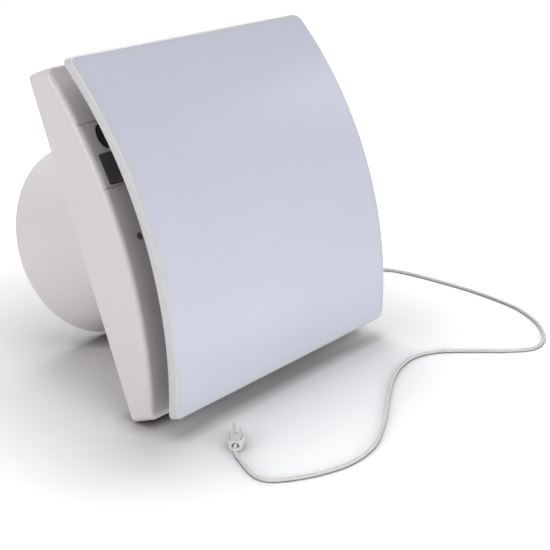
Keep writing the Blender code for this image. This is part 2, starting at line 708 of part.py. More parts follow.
def make_inlet_guard(fan):
    outer = SPIGOT_RADIUS
    rim_bore = outer - GUARD_LIP
    rim = ring_profile(rim_bore, outer, GUARD_FRONT, GUARD_REAR)
    guard = add_object("inlet_guard", turned(rim, MOTOR_SIDES), fan, SATIN_WHITE)
    pitch = (rim_bore - GUARD_HUB_RADIUS) / (GUARD_RINGS + 1)
    for number in range(GUARD_RINGS):
        middle = GUARD_HUB_RADIUS + pitch * (number + 1)
        ring = ring_profile(middle - GUARD_BAR / 2, middle + GUARD_BAR / 2, GUARD_FRONT, GUARD_REAR)
        join(guard, add_object(f"guard_ring_{number}", turned(ring, LARGE_SIDES), fan))
    for number in range(GUARD_SPOKES):
        spoke = block((GUARD_HUB_RADIUS - OVERLAP * 2, rim_bore + OVERLAP * 2), (GUARD_FRONT, GUARD_REAR),
                      (-GUARD_BAR / 2, GUARD_BAR / 2))
        angle = 2 * math.pi * (number + 0.5) / GUARD_SPOKES
        join(guard, add_object(f"guard_spoke_{number}", spoke, fan, rotation=(0, angle, 0)))
    hub = rod(GUARD_HUB_RADIUS, GUARD_FRONT, GUARD_REAR)
    join(guard, add_object("guard_hub", hub, fan))


def wrapped(radius, angle, y):
    return (radius * math.sin(angle), y, radius * math.cos(angle))


def blade(front, rear):
    """One twisted blade, lofted from inside the hub's wall to its tip."""
    bm = bmesh.new()
    stations = (HUB_RADIUS - HUB_WALL / 2, (HUB_RADIUS + BLADE_TIP) / 2, BLADE_TIP)
    sections = []
    for radius in stations:
        out = (radius - HUB_RADIUS) / (BLADE_TIP - HUB_RADIUS)
        sweep = BLADE_SWEEP_HUB + (BLADE_SWEEP_TIP - BLADE_SWEEP_HUB) * out
        upper = []
        lower = []
        for i in range(BLADE_CHORD_STEPS + 1):
            share = i / BLADE_CHORD_STEPS
            angle = sweep * (share - 0.5)
            y = front + (rear - front) * (share + BLADE_CAMBER * math.sin(math.pi * share))
            fullness = BLADE_EDGE_SHARE + (1 - BLADE_EDGE_SHARE) * math.sin(math.pi * share)
            half = BLADE_THICKNESS / 2 * fullness
            upper.append(bm.verts.new(wrapped(radius, angle + half / radius, y - half)))
            lower.append(bm.verts.new(wrapped(radius, angle - half / radius, y + half)))
        sections.append(upper + lower[::-1])
    count = len(sections[0])
    for first, second in zip(sections, sections[1:]):
        for i in range(count):
            j = (i + 1) % count
            bm.faces.new((first[i], first[j], second[j], second[i]))
    for section in (sections[0], sections[-1]):
        for i in range(BLADE_CHORD_STEPS):
            bm.faces.new((section[i], section[i + 1], section[count - 2 - i], section[count - 1 - i]))
    return bm


def make_fan_wheel(spin):
    bore = SHAFT_RADIUS + GAP
    boss = bore + BOSS_WALL
    boss_rear = HUB_REAR - HUB_TO_MOTOR
    profile = (
        (bore, HUB_FRONT), (HUB_RADIUS - HUB_ROUND, HUB_FRONT),
        (HUB_RADIUS - HUB_ROUND * 0.3, HUB_FRONT + HUB_ROUND * 0.3), (HUB_RADIUS, HUB_FRONT + HUB_ROUND),
        (HUB_RADIUS, HUB_REAR), (HUB_RADIUS - HUB_WALL, HUB_REAR),
        (HUB_RADIUS - HUB_WALL, HUB_FRONT + HUB_ROUND), (HUB_RADIUS - HUB_ROUND, HUB_FRONT + HUB_WALL),
        (boss, HUB_FRONT + HUB_WALL), (boss, boss_rear), (bore, boss_rear),
    )
    wheel = add_object("impeller", turned(profile, MOTOR_SIDES), spin, SATIN_WHITE)
    middle = (HUB_FRONT + HUB_ROUND + HUB_REAR) / 2
    for number in range(BLADE_COUNT):
        angle = 2 * math.pi * number / BLADE_COUNT
        tool = blade(middle - BLADE_AXIAL / 2, middle + BLADE_AXIAL / 2)
        join(wheel, add_object(f"blade_{number}", tool, spin, rotation=(0, angle, 0)))
    nut = add_object("impeller_nut", rod(NUT_RADIUS, NUT_REAR - NUT_THICKNESS, NUT_REAR, sides=6), spin, BRASS)
    nut_bore = rod(bore, NUT_REAR - NUT_THICKNESS - CUT_EXTRA, NUT_REAR + CUT_EXTRA, sides=HOLE_SIDES)
    cut(nut, add_object("nut_bore", nut_bore, spin))
    shaft = rod(SHAFT_RADIUS, SHAFT_FRONT, CAN_REAR - GAP, sides=HOLE_SIDES)
    add_object("motor_shaft", shaft, spin, BRIGHT_STEEL)
    rotor = ring_profile(bore, ROTOR_RADIUS, MOTOR_MIDDLE - ROTOR_LENGTH / 2, MOTOR_MIDDLE + ROTOR_LENGTH / 2)
    add_object("motor_rotor", turned(rotor), spin, STEEL)


def make_motor(fan):
    bearing_bore = SHAFT_RADIUS + RUNNING_GAP
    can = (
        (MOTOR_RADIUS, CAN_FRONT), (MOTOR_RADIUS, CAN_REAR), (BEARING_SEAT, CAN_REAR),
        (BEARING_SEAT, CAN_REAR - MOTOR_FLOOR), (MOTOR_RADIUS - MOTOR_WALL, CAN_REAR - MOTOR_FLOOR),
        (MOTOR_RADIUS - MOTOR_WALL, CAN_FRONT),
    )
    can = add_object("motor_can", turned(can, MOTOR_SIDES), fan, STEEL)
    end_cap = ring_profile(BEARING_SEAT, MOTOR_RADIUS, CAP_FRONT, CAP_FRONT + END_CAP_THICKNESS)
    add_object("motor_end_cap", turned(end_cap, MOTOR_SIDES), fan, STEEL)
    front_bearing = ring_profile(bearing_bore, BEARING_RADIUS, CAP_FRONT, CAP_FRONT + BEARING_LENGTH)
    add_object("bearing_front", turned(front_bearing, HOLE_SIDES), fan, BRONZE)
    rear_bearing = ring_profile(bearing_bore, BEARING_RADIUS, CAN_REAR - BEARING_LENGTH, CAN_REAR)
    add_object("bearing_rear", turned(rear_bearing, HOLE_SIDES), fan, BRONZE)

    stator_radius = MOTOR_RADIUS - MOTOR_WALL - GAP
    stator_front = MOTOR_MIDDLE - STATOR_LENGTH / 2
    stator_rear = MOTOR_MIDDLE + STATOR_LENGTH / 2
    core = ring_profile(ROTOR_RADIUS + AIR_GAP, stator_radius, stator_front, stator_rear)
    add_object("stator_core", turned(core, LARGE_SIDES), fan, STEEL)
    winding_bore = stator_radius - WINDING_WALL
    for side, start in (("front", stator_front - GAP - WINDING_LENGTH), ("rear", stator_rear + GAP)):
        end = start + WINDING_LENGTH
        round_off = WINDING_LENGTH * 0.25
        profile = (
            (winding_bore, start + round_off), (winding_bore + round_off, start),
            (stator_radius - round_off, start), (stator_radius, start + round_off),
            (stator_radius, end), (winding_bore, end),
        )
        add_object(f"winding_{side}", turned(profile), fan, COPPER)

    for number, x in enumerate((-MOTOR_SCREW_SPREAD / 2, MOTOR_SCREW_SPREAD / 2)):
        hole = rod(MOTOR_SCREW_RADIUS + GAP, CAN_REAR - MOTOR_FLOOR - CUT_EXTRA, CUP_REAR, x, sides=HOLE_SIDES)
        cut(can, add_object(f"can_screw_hole_{number}", hole, fan))
        length = CUP_REAR + GAP - (CAN_REAR - MOTOR_FLOOR) + MOTOR_SCREW_RADIUS
        add_screw(f"motor_screw_{number + 1}", fan, (x, CUP_REAR + GAP, 0), MOTOR_SCREW_RADIUS * 2,
                  SCREW_HEAD_HEIGHT, MOTOR_SCREW_RADIUS, length, BRIGHT_STEEL, turn=math.pi)


def make_motor_bracket(fan):
    cup = (
        (CUP_BORE, CAP_FRONT), (CUP_RADIUS, CAP_FRONT), (CUP_RADIUS, CUP_REAR), (BEARING_SEAT, CUP_REAR),
        (BEARING_SEAT, CUP_REAR - CUP_FLOOR), (CUP_BORE, CUP_REAR - CUP_FLOOR),
    )
    bracket = add_object("motor_bracket", turned(cup, MOTOR_SIDES), fan, SATIN_WHITE)
    front = BRACKET_REAR - BRACKET_RING_LENGTH
    ring = ring_profile(BRACKET_RADIUS - BRACKET_RING_WALL, BRACKET_RADIUS, front, BRACKET_REAR)
    join(bracket, add_object("bracket_ring", turned(ring, SPIGOT_SIDES), fan))
    for number in range(STRUT_COUNT):
        strut = block((CUP_RADIUS - CUP_WALL / 2, BRACKET_RADIUS - BRACKET_RING_WALL / 2),
                      (front + GAP, BRACKET_REAR - GAP), (-STRUT_THICKNESS / 2, STRUT_THICKNESS / 2))
        angle = 2 * math.pi * (number + 0.5) / STRUT_COUNT
        join(bracket, add_object(f"strut_{number}", strut, fan, rotation=(0, angle, 0)))
    for number, x in enumerate((-MOTOR_SCREW_SPREAD / 2, MOTOR_SCREW_SPREAD / 2)):
        hole = rod(MOTOR_SCREW_RADIUS + GAP, CAN_REAR - CUT_EXTRA, CUP_REAR + CUT_EXTRA, x, sides=HOLE_SIDES)
        cut(bracket, add_object(f"bracket_screw_hole_{number}", hole, fan))


def make_front_cover(pull_off):
    arch = COVER_ARCH
    inside = COVER_EDGE_DEPTH - COVER_SHEET
    rings = rounded_edge(arch, COVER_EDGE_DEPTH, COVER_EDGE_ROUND, COVER_EDGE_STEPS)
    rings += [
        (0, lambda z: arch_depth(arch, z)),
        (COVER_EDGE_WALL, lambda z: arch_depth(arch, z)),
        (COVER_EDGE_WALL, lambda z: arch_depth(arch, z) + inside),
    ]
    shell = tray(COVER_WIDTH, COVER_HEIGHT, COVER_CORNER, rings, COVER_CORNER_STEPS, COVER_SIDE_STEPS)
    cover = add_object("front_cover", shell, pull_off, GLOSS_WHITE)
    for number, (x, z) in enumerate(corners_of(PEG_SPREAD_X, PEG_SPREAD_Z)):
        root = -(arch_depth(arch, z) + inside + COVER_SHEET / 2)
        tip = -arch_depth(BODY_ARCH, z) + PEG_ENGAGEMENT
        join(cover, add_object(f"peg_{number}", rod(PEG_RADIUS, root, tip, x, z, PEG_SIDES), pull_off))


def make_control_panel(fan, press):
    """The inset panel with the display's window, the display behind it, and the oval button."""
    z_low = PANEL_BOTTOM + GAP
    z_high = PANEL_TOP - GAP
    panel = arched_slab((PANEL_LEFT + GAP, PANEL_RIGHT - GAP), (z_low, z_high), 0,
                        -(CASING_WALL + GAP + PANEL_LIP_THICKNESS / 2))
    panel = add_object("control_panel", panel, fan, SATIN_WHITE)
    lip_front = CASING_WALL + GAP
    lip_x = (PANEL_LEFT - PANEL_LIP, PANEL_RIGHT + PANEL_LIP)
    lip_z = (z_low - PANEL_LIP, z_high + PANEL_LIP)
    lip = arched_slab(lip_x, lip_z, -lip_front, -(lip_front + PANEL_LIP_THICKNESS))
    join(panel, add_object("panel_lip", lip, fan))
    deep = -BODY_END_DEPTH - BODY_BULGE - CUT_EXTRA
    right = DISPLAY_LEFT + DISPLAY_WIDTH
    top = DISPLAY_BOTTOM + DISPLAY_HEIGHT
    opening = block((DISPLAY_LEFT - GAP, right + GAP), (deep, 0), (DISPLAY_BOTTOM - GAP, top + GAP))
    cut(panel, add_object("display_opening", opening, fan))
    button_opening = oval_rod(BUTTON_HALF_WIDTH + GAP, BUTTON_HALF_HEIGHT + GAP, deep, 0, BUTTON_X, BUTTON_Z,
                              LARGE_SIDES)
    cut(panel, add_object("button_opening", button_opening, fan))

    window = arched_slab((DISPLAY_LEFT, right), (DISPLAY_BOTTOM, top), 0, -DISPLAY_THICKNESS)
    add_object("display_window", window, fan, DARK_GLASS)
    module_front = -(arch_depth(BODY_ARCH, top + MODULE_BORDER) - CASING_WALL - GAP - PANEL_LIP_THICKNESS
                     - MODULE_TO_WINDOW)
    module = block((DISPLAY_LEFT - MODULE_BORDER, right + MODULE_BORDER), (module_front, BOARD_SEAT),
                   (DISPLAY_BOTTOM, top + MODULE_BORDER))
    add_object("display_module", module, fan, GREY_PLASTIC)

    lip_half_width = BUTTON_HALF_WIDTH + BUTTON_LIP
    lip_half_height = BUTTON_HALF_HEIGHT + BUTTON_LIP
    behind = CASING_WALL + GAP + PANEL_LIP_THICKNESS + GAP
    across = (-lip_half_width - CUT_EXTRA, lip_half_width + CUT_EXTRA)
    upright = (BUTTON_Z - lip_half_height - CUT_EXTRA, BUTTON_Z + lip_half_height + CUT_EXTRA)
    face = arched_slab(across, upright, BUTTON_PROUD, -(behind + BUTTON_LIP_THICKNESS / 2))
    lip = arched_slab(across, upright, -behind, -(behind + BUTTON_LIP_THICKNESS))
    for bm in (face, lip):
        bmesh.ops.translate(bm, vec=(0, 0, -BUTTON_Z), verts=bm.verts)
    button = add_object("mode_button", face, press, BLACK_PLASTIC)
    face_outline = oval_rod(BUTTON_HALF_WIDTH, BUTTON_HALF_HEIGHT, deep, 0, sides=LARGE_SIDES)
    combine(button, add_object("button_outline", face_outline, press), "INTERSECT")
    lip = add_object("button_lip", lip, press)
    lip_outline = oval_rod(lip_half_width, lip_half_height, deep, 0, sides=LARGE_SIDES)
    combine(lip, add_object("button_lip_outline", lip_outline, press), "INTERSECT")
    join(button, lip)
    switch_front = BOARD_SEAT - SWITCH_HEIGHT
    lip_rear = -(arch_depth(BODY_ARCH, BUTTON_Z) - behind)
    stem = rod(BUTTON_STEM_RADIUS, lip_rear, switch_front - BUTTON_TRAVEL - GAP, sides=HOLE_SIDES)
    join(button, add_object("button_stem", stem, press))


def make_control_board(fan):
    right = BOARD_LEFT + BOARD_WIDTH
    board = block((BOARD_LEFT, right), (BOARD_FRONT, BOARD_REAR), (BOARD_BOTTOM, BOARD_TOP))
    board = add_object("control_board", board, fan, BOARD_GREEN)
    for number, (x, z) in enumerate(post_places()):
        hole = rod(SCREW_RADIUS + GAP, BOARD_FRONT - CUT_EXTRA, BOARD_REAR + CUT_EXTRA, x, z, sides=HOLE_SIDES)
        cut(board, add_object(f"board_hole_{number}", hole, fan))
        add_screw(f"board_screw_{number + 1}", fan, (x, BOARD_FRONT - GAP, z), SCREW_HEAD_RADIUS,
                  SCREW_HEAD_HEIGHT, SCREW_RADIUS, POST_HEIGHT * SCREW_BITE, BRIGHT_STEEL)
    half = SWITCH_WIDTH / 2
    switch = block((BUTTON_X - half, BUTTON_X + half), (BOARD_SEAT - SWITCH_HEIGHT, BOARD_SEAT),
                   (BUTTON_Z - half, BUTTON_Z + half))
    add_object("button_switch", switch, fan, BLACK_PLASTIC)
    width, depth, height = RELAY_SIZE
    relay_bottom = BUTTON_Z - height / 2
    relay = block((right - width - GAP, right - GAP), (BOARD_SEAT - depth, BOARD_SEAT),
                  (relay_bottom, relay_bottom + height))
    bmesh.ops.bevel(relay, geom=relay.edges[:], offset=GAP, segments=1, affect="EDGES")
    add_object("relay", relay, fan, BLUE_BLACK)
    middle = BOARD_LEFT + BOARD_WIDTH / 2
    length = CAPACITOR_LENGTH / 2
    capacitor = cross_rod(CAPACITOR_RADIUS, middle - length, middle + length, BOARD_SEAT - CAPACITOR_RADIUS,
                          BOARD_TOP - BOARD_EDGE - CAPACITOR_RADIUS)
    add_object("capacitor", capacitor, fan, BLUE_BLACK)


def make_mains_connection(fan):
    x, z = terminal_middle()
    front = SEAT - TERMINAL_DEPTH
    terminal = block((x - TERMINAL_WIDTH / 2, x + TERMINAL_WIDTH / 2), (front, SEAT),
                     (z - TERMINAL_HEIGHT / 2, z + TERMINAL_HEIGHT / 2))
    terminal = add_object("terminal_block", terminal, fan, NATURAL_WHITE)
    for number in range(TERMINAL_POLES):
        pole = x + TERMINAL_PITCH * (number - (TERMINAL_POLES - 1) / 2)
        well = rod(TERMINAL_HOLE, front - CUT_EXTRA, front + TERMINAL_WELL, pole, z, sides=HOLE_SIDES)
        cut(terminal, add_object(f"terminal_well_{number}", well, fan))
        depth = front + TERMINAL_WELL
        way_outline = [(a + pole, b + depth) for a, b in circle(WIRE_WAY_RADIUS, HOLE_SIDES)]
        wire_way = prism(way_outline, z, z + TERMINAL_HEIGHT, lambda a, b, h: (a, b, h))
        cut(terminal, add_object(f"terminal_way_{number}", wire_way, fan))
        place = (pole, front + TERMINAL_SCREW_SINK, z)
        add_screw(f"terminal_screw_{number + 1}", fan, place, TERMINAL_HOLE - GAP, SCREW_HEAD_HEIGHT,
                  TERMINAL_SCREW_RADIUS, TERMINAL_SCREW_LENGTH, BRASS)

    x, z = grommet_place()
    lip = GROMMET_RADIUS + GROMMET_GROOVE
    inner = GROMMET_RADIUS - GAP
    profile = (
        (GROMMET_BORE, SEAT - GROMMET_GROOVE), (lip, SEAT - GROMMET_GROOVE), (lip, SEAT), (inner, SEAT),
        (inner, -GAP), (GROMMET_BORE, -GAP),
    )
    add_object("cable_grommet", turned(profile), fan, RUBBER, (x, 0, z))

    x, z = clamp_middle()
    seat = PLATE_FRONT - CLAMP_FOOT - GAP
    bar = block((x - CLAMP_WIDTH / 2, x + CLAMP_WIDTH / 2), (seat - CLAMP_THICKNESS, seat),
                (z - CLAMP_BAR / 2, z + CLAMP_BAR / 2))
    edges = [e for e in bar.edges if abs(e.verts[0].co.y - e.verts[1].co.y) > CLAMP_THICKNESS / 2]
    bmesh.ops.bevel(bar, geom=edges, offset=CLAMP_BAR / 3, segments=3, affect="EDGES")
    bar = add_object("cable_clamp", bar, fan, NATURAL_WHITE)
    for number, (screw_x, screw_z) in enumerate(clamp_screw_places()):
        hole = rod(SCREW_RADIUS + GAP, seat - CLAMP_THICKNESS - CUT_EXTRA, seat + CUT_EXTRA, screw_x, screw_z,
                   HOLE_SIDES)
        cut(bar, add_object(f"clamp_hole_{number}", hole, fan))
        add_screw(f"clamp_screw_{number + 1}", fan, (screw_x, seat - CLAMP_THICKNESS - GAP, screw_z),
                  SCREW_HEAD_RADIUS, SCREW_HEAD_HEIGHT, SCREW_RADIUS, CLAMP_THICKNESS + CLAMP_FOOT * SCREW_BITE,
                  BRIGHT_STEEL)


def make_pull_switch(fan, pull):
    left = PULL_BODY_RIGHT - PULL_BODY_LENGTH
    half = PULL_BODY_HEIGHT / 2
    body = block((left, PULL_BODY_RIGHT), (SEAT - PULL_BODY_DEPTH, SEAT), (PULL_Z - half, PULL_Z + half))
    body = add_object("pull_switch_body", body, fan, GREY_PLASTIC)
    cavity_left = left + PULL_WALL
    cavity_right = PULL_BODY_RIGHT - PULL_WALL
    cavity = cross_rod(PULL_BORE, cavity_left, cavity_right, PULL_Y, PULL_Z)
    way_out = cross_rod(STEM_RADIUS + GAP, cavity_left + OVERLAP, PULL_BODY_RIGHT + CUT_EXTRA, PULL_Y, PULL_Z)
    cut(body, add_object("plunger_bore", cavity, fan), add_object("stem_bore", way_out, fan))

    head_left = cavity_left + GAP
    head_right = head_left + PLUNGER_HEAD
    origin = cavity_left
    profile = (
        (0, head_left - origin), (PULL_BORE - GAP, head_left - origin), (PULL_BORE - GAP, head_right - origin),
        (STEM_RADIUS, head_right - origin), (STEM_RADIUS, STEM_END - origin), (0, STEM_END - origin),
    )
    add_object("pull_plunger", turned_along_x(profile, ring=False), pull, NATURAL_WHITE)

    spring_radius = (STEM_RADIUS + PULL_BORE) / 2
    start = head_right + GAP + SPRING_WIRE
    end = cavity_right - GAP - SPRING_WIRE
    steps = SPRING_TURNS * SPRING_STEPS
    points = []
    for i in range(steps + 1):
        angle = 2 * math.pi * SPRING_TURNS * i / steps
        points.append((start + (end - start) * i / steps, PULL_Y + spring_radius * math.cos(angle),
                       PULL_Z + spring_radius * math.sin(angle)))
    add_tube("pull_spring", points, SPRING_WIRE, 0, fan, BRIGHT_STEEL)

    bore = STEM_RADIUS + GAP
    bush_left = INNER_HALF - BUSH_LENGTH + CASING_WALL
    profile = (
        (bore, BUSH_FACE), (BUSH_LIP_RADIUS, BUSH_FACE), (BUSH_LIP_RADIUS, HALF_WIDTH + GAP),
        (BUSH_BODY_RADIUS, HALF_WIDTH + GAP), (BUSH_BODY_RADIUS, bush_left), (bore, bush_left),
    )
    add_object("cord_bush", turned_along_x(profile), fan, NATURAL_WHITE, (0, PULL_Y, PULL_Z))


def add_tube(name, points, radius, resolution, parent, look):
    """A round tube along points, as a curve with a bevel and filled caps."""
    curve = bpy.data.curves.new(name, "CURVE")
    curve.dimensions = "3D"
    curve.bevel_depth = radius
    curve.bevel_resolution = resolution
    curve.use_fill_caps = True
    spline = curve.splines.new("POLY")
    spline.points.add(len(points) - 1)
    for point, place in zip(spline.points, points):
        point.co = (*place, 1)
    obj = bpy.data.objects.new(name, curve)
    bpy.context.scene.collection.objects.link(obj)
    obj.parent = parent
    add_material(obj, look)
    return obj


def smooth_curve(route, count):
    """Evenly spaced points on a centripetal Catmull-Rom curve through the route."""
    knots = [Vector(p) for p in route]
    knots = [2 * knots[0] - knots[1]] + knots + [2 * knots[-1] - knots[-2]]
    fine = []
    for a, b, c, d in zip(knots, knots[1:], knots[2:], knots[3:]):
        t1 = math.sqrt((b - a).length)
        t2 = t1 + math.sqrt((c - b).length)
        t3 = t2 + math.sqrt((d - c).length)
        for i in range(CURVE_STEPS):
            t = t1 + (t2 - t1) * i / CURVE_STEPS
            p = a.lerp(b, t / t1)
            q = b.lerp(c, (t - t1) / (t2 - t1))
            r = c.lerp(d, (t - t2) / (t3 - t2))
            u = p.lerp(q, t / t2)
            v = q.lerp(r, (t - t1) / (t3 - t1))
            fine.append(u.lerp(v, (t - t1) / (t2 - t1)))
    fine.append(knots[-2])
    lengths = [0]
    for a, b in zip(fine, fine[1:]):
        lengths.append(lengths[-1] + (b - a).length)
    points = []
    at = 0
    for i in range(count):
        wanted = lengths[-1] * i / (count - 1)
        while at < len(fine) - 2 and lengths[at + 1] < wanted:
            at += 1
        share = (wanted - lengths[at]) / (lengths[at + 1] - lengths[at])
        points.append(fine[at].lerp(fine[at + 1], min(share, 1)))
    print(f"Pull cord: {lengths[-1] * 1000:.1f} mm long")
    return points


def connector_point(along, across, height):
    """A point of the connector in the table's frame."""
    c = math.cos(CONNECTOR_HEADING)
    s = math.sin(CONNECTOR_HEADING)
    return (CONNECTOR_X + along * c - across * s, CONNECTOR_Y + along * s + across * c, height)


def make_pull_cord(table):
    exit_point = Vector(on_table(STEM_END + GAP, PULL_Y, PULL_Z))
    straight = exit_point + Vector((CORD_RADIUS * 5, 0, 0))
    laid = [(x, y, CORD_LIE + height) for x, y, height in CORD_ROUTE]
    knot_face = KNOT_DEPTH - KNOT_RADIUS - GAP
    hole = KEYHOLE_HEIGHT
    ends = [
        connector_point(-CORD_RADIUS * 5, -CORD_RADIUS * 0.5, CORD_LIE + (hole - CORD_LIE) * 0.35),
        connector_point(-CORD_RADIUS * 2, 0, hole - CORD_RADIUS * 0.15),
        connector_point(knot_face, 0, hole),
    ]
    points = smooth_curve([exit_point, straight] + laid + ends, CORD_POINTS)
    add_tube("pull_cord", points, CORD_RADIUS, 2, table, CORD_WHITE)


def make_cord_connector(table):
    barb = CONNECTOR_BARB_AT
    slot = CONNECTOR_SLOT / 2
    nose = CONNECTOR_NOSE / 2
    waist = CONNECTOR_WAIST / 2
    outline = (
        (0, -nose * 0.6), (nose * 0.25, -nose * 0.86), (nose * 0.75, -nose), (barb, -CONNECTOR_BARB / 2),
        (barb, -waist), (CONNECTOR_SHORT_ARM, -waist * 0.75), (CONNECTOR_SHORT_ARM, -slot), (barb * 0.9, -slot),
        (barb * 0.9, slot), (CONNECTOR_LONG_ARM, slot), (CONNECTOR_LONG_ARM, waist * 0.8), (barb, waist),
        (barb, CONNECTOR_BARB / 2), (nose * 0.75, nose), (nose * 0.25, nose * 0.86), (0, nose * 0.6),
    )
    body = prism(outline, TABLE_GAP, TABLE_GAP + CONNECTOR_HEIGHT, connector_point)
    body = add_object("cord_connector", body, table, NATURAL_WHITE)
    round_hole = [(a, b + KEYHOLE_HEIGHT) for a, b in circle(KEYHOLE_RADIUS, HOLE_SIDES)]
    hole = prism(round_hole, -CUT_EXTRA, KEYHOLE_DEPTH, lambda a, b, h: connector_point(h, a, b))
    width = CORD_RADIUS * 0.7
    way = ((-width, -CUT_EXTRA), (width, -CUT_EXTRA), (width, KEYHOLE_HEIGHT), (-width, KEYHOLE_HEIGHT))
    slot_cut = prism(way, -CUT_EXTRA, KEYHOLE_DEPTH * 0.5, lambda a, b, h: connector_point(h, a, b))
    cut(body, add_object("keyhole", hole, table), add_object("keyhole_slot", slot_cut, table))
    knot = bmesh.new()
    bmesh.ops.create_uvsphere(knot, u_segments=12, v_segments=8, radius=KNOT_RADIUS)
    place = connector_point(KNOT_DEPTH, 0, KEYHOLE_HEIGHT)
    add_object("cord_knot", knot, table, CORD_WHITE, place)


def main():
    clear_scene()
    table = add_empty("table_frame", (0, -MIDDLE, 0))
    stand = Vector(on_table(0, 0, 0)) + Vector((0, -MIDDLE, 0))
    fan = add_empty("fan_frame", stand, (-LEAN, 0, 0))
    spin = add_empty("fan_wheel_axis", stand, (-LEAN, 0, 0))
    tilt = Euler((-LEAN, 0, 0)).to_matrix()
    press = add_empty("button_axis", stand + tilt @ Vector((BUTTON_X, 0, BUTTON_Z)), (-LEAN, 0, 0))
    pull_off = add_empty("cover_axis", stand, (-LEAN, 0, 0))
    plunger_start = (PULL_BODY_RIGHT - PULL_BODY_LENGTH + PULL_WALL, PULL_Y, PULL_Z)
    pull = add_empty("pull_axis", stand + tilt @ Vector(plunger_start), (-LEAN, 0, 0))

    make_front_casing(fan)
    make_casing_screws(fan)
    make_back_plate(fan)
    make_duct_spigot(fan)
    make_inlet_guard(fan)
    make_motor_bracket(fan)
    make_motor(fan)
    make_fan_wheel(spin)
    make_front_cover(pull_off)
    make_control_panel(fan, press)
    make_control_board(fan)
    make_mains_connection(fan)
    make_pull_switch(fan, pull)
    make_pull_cord(table)
    make_cord_connector(table)


main()
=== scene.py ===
"""Looks of the exhaust fan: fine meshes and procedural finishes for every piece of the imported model.

Shapes are built upright (x to the right, y towards the wall, z up, zero at the middle of the wall face) and
then laid back with the fan. The cord lies level on the table. All sizes are in metres.
"""
import json
import math
from collections import namedtuple

import bmesh
import bpy
from mathutils import Matrix, Vector


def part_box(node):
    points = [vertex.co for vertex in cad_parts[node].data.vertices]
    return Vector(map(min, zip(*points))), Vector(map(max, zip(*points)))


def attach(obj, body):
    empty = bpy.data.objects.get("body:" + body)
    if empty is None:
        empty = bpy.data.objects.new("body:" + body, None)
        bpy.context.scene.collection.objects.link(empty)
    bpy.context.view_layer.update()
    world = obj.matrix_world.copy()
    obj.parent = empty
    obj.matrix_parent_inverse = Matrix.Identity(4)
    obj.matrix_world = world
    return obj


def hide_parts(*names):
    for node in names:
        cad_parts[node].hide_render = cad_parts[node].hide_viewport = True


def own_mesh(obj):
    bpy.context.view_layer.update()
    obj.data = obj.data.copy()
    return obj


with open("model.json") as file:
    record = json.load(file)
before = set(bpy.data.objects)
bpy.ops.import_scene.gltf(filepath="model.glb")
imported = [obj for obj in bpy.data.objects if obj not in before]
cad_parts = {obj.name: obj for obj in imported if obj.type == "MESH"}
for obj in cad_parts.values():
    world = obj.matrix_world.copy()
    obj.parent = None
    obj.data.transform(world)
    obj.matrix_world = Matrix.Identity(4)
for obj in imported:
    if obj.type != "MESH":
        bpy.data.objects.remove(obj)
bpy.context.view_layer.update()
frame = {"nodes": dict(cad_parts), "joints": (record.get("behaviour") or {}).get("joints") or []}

# How the fan lies, from its wheel's joint
SPIN = next(joint for joint in frame["joints"] if joint["name"] == "fan_spin")
LEAN = math.atan2(-SPIN["axis"][2], SPIN["axis"][1])
UPRIGHT = Matrix.Translation(SPIN["pos_m"]) @ Matrix.Rotation(-LEAN, 4, "X")
LEVEL = Matrix.Identity(4)

# Camera, fitted to the photograph
CAMERA_PLACE = (-0.475117, -0.423703, 0.261693)
CAMERA_YAW = math.radians(-52.8375)
CAMERA_PITCH = math.radians(19.3996)
CAMERA_ROLL = math.radians(0.7702)
CAMERA_LENS = 89.15
SENSOR = 36.0

# Light: the strength of the light from all sides, and each lamp's place, size and power in watts
AMBIENT = 0.04
SOFTBOXES = (
    ("softbox_above", (0.0, 0.0, 1.60), 1.2, 10.6),
    ("softbox_back", (0.75, 0.75, 1.45), 1.2, 14.4),
    ("softbox_left", (-1.45, 0.45, 0.20), 0.8, 14.8),
    ("softbox_front", (-0.55, -1.40, 0.30), 0.8, 2.2),
    ("softbox_table", (-0.05, -0.60, 0.03), 0.3, 2.2),
    ("softbox_corner", (-0.35, -0.45, 0.03), 0.3, 0.3),
    ("softbox_right", (1.40, -0.40, 0.50), 0.8, 1.8),
)
SMALL_SOFTBOX = 0.5
LIT_POINT = (0, 0, 0.06)

# Backdrop and floor, which is lifted more and more from near to far, painting shade round the object, and is
# plain white past its end
WHITE = (1, 1, 1, 1)
OVERHEAD_GREY = (0.50, 0.53, 0.60, 1)
GREY_FROM = 0.05
GREY_TO = 0.6
FLOOR_RADIUS = 6
FLOOR_COLOUR = (0.78, 0.775, 0.78)
FLOOR_NEAR = 0.09
FLOOR_FAR = 0.22
FLOOR_END = 0.9
FLOOR_LIFT_NEAR = 0.17
FLOOR_LIFT_FAR = 0.62
# How far the painted contact shade on the floor reaches
PAINTED_CONTACT_REACH = 0.011

# Clearances
GAP = 0.0003
TIP_GAP = 0.0016
TABLE_GAP = 0.0001

# Body
BODY_WIDTH = 0.158
BODY_HEIGHT = 0.158
BODY_END_DEPTH = 0.0124
BODY_BULGE = 0.014
BODY_CORNER = 0.003
CASING_WALL = 0.002
CASING_SHOULDER = 0.0025
CASING_END_ROUND = 0.001
CASING_FREE_ROUND = 0.0004
CASING_FILLET = 0.0006
HALF_WIDTH = BODY_WIDTH / 2
HALF_HEIGHT = BODY_HEIGHT / 2

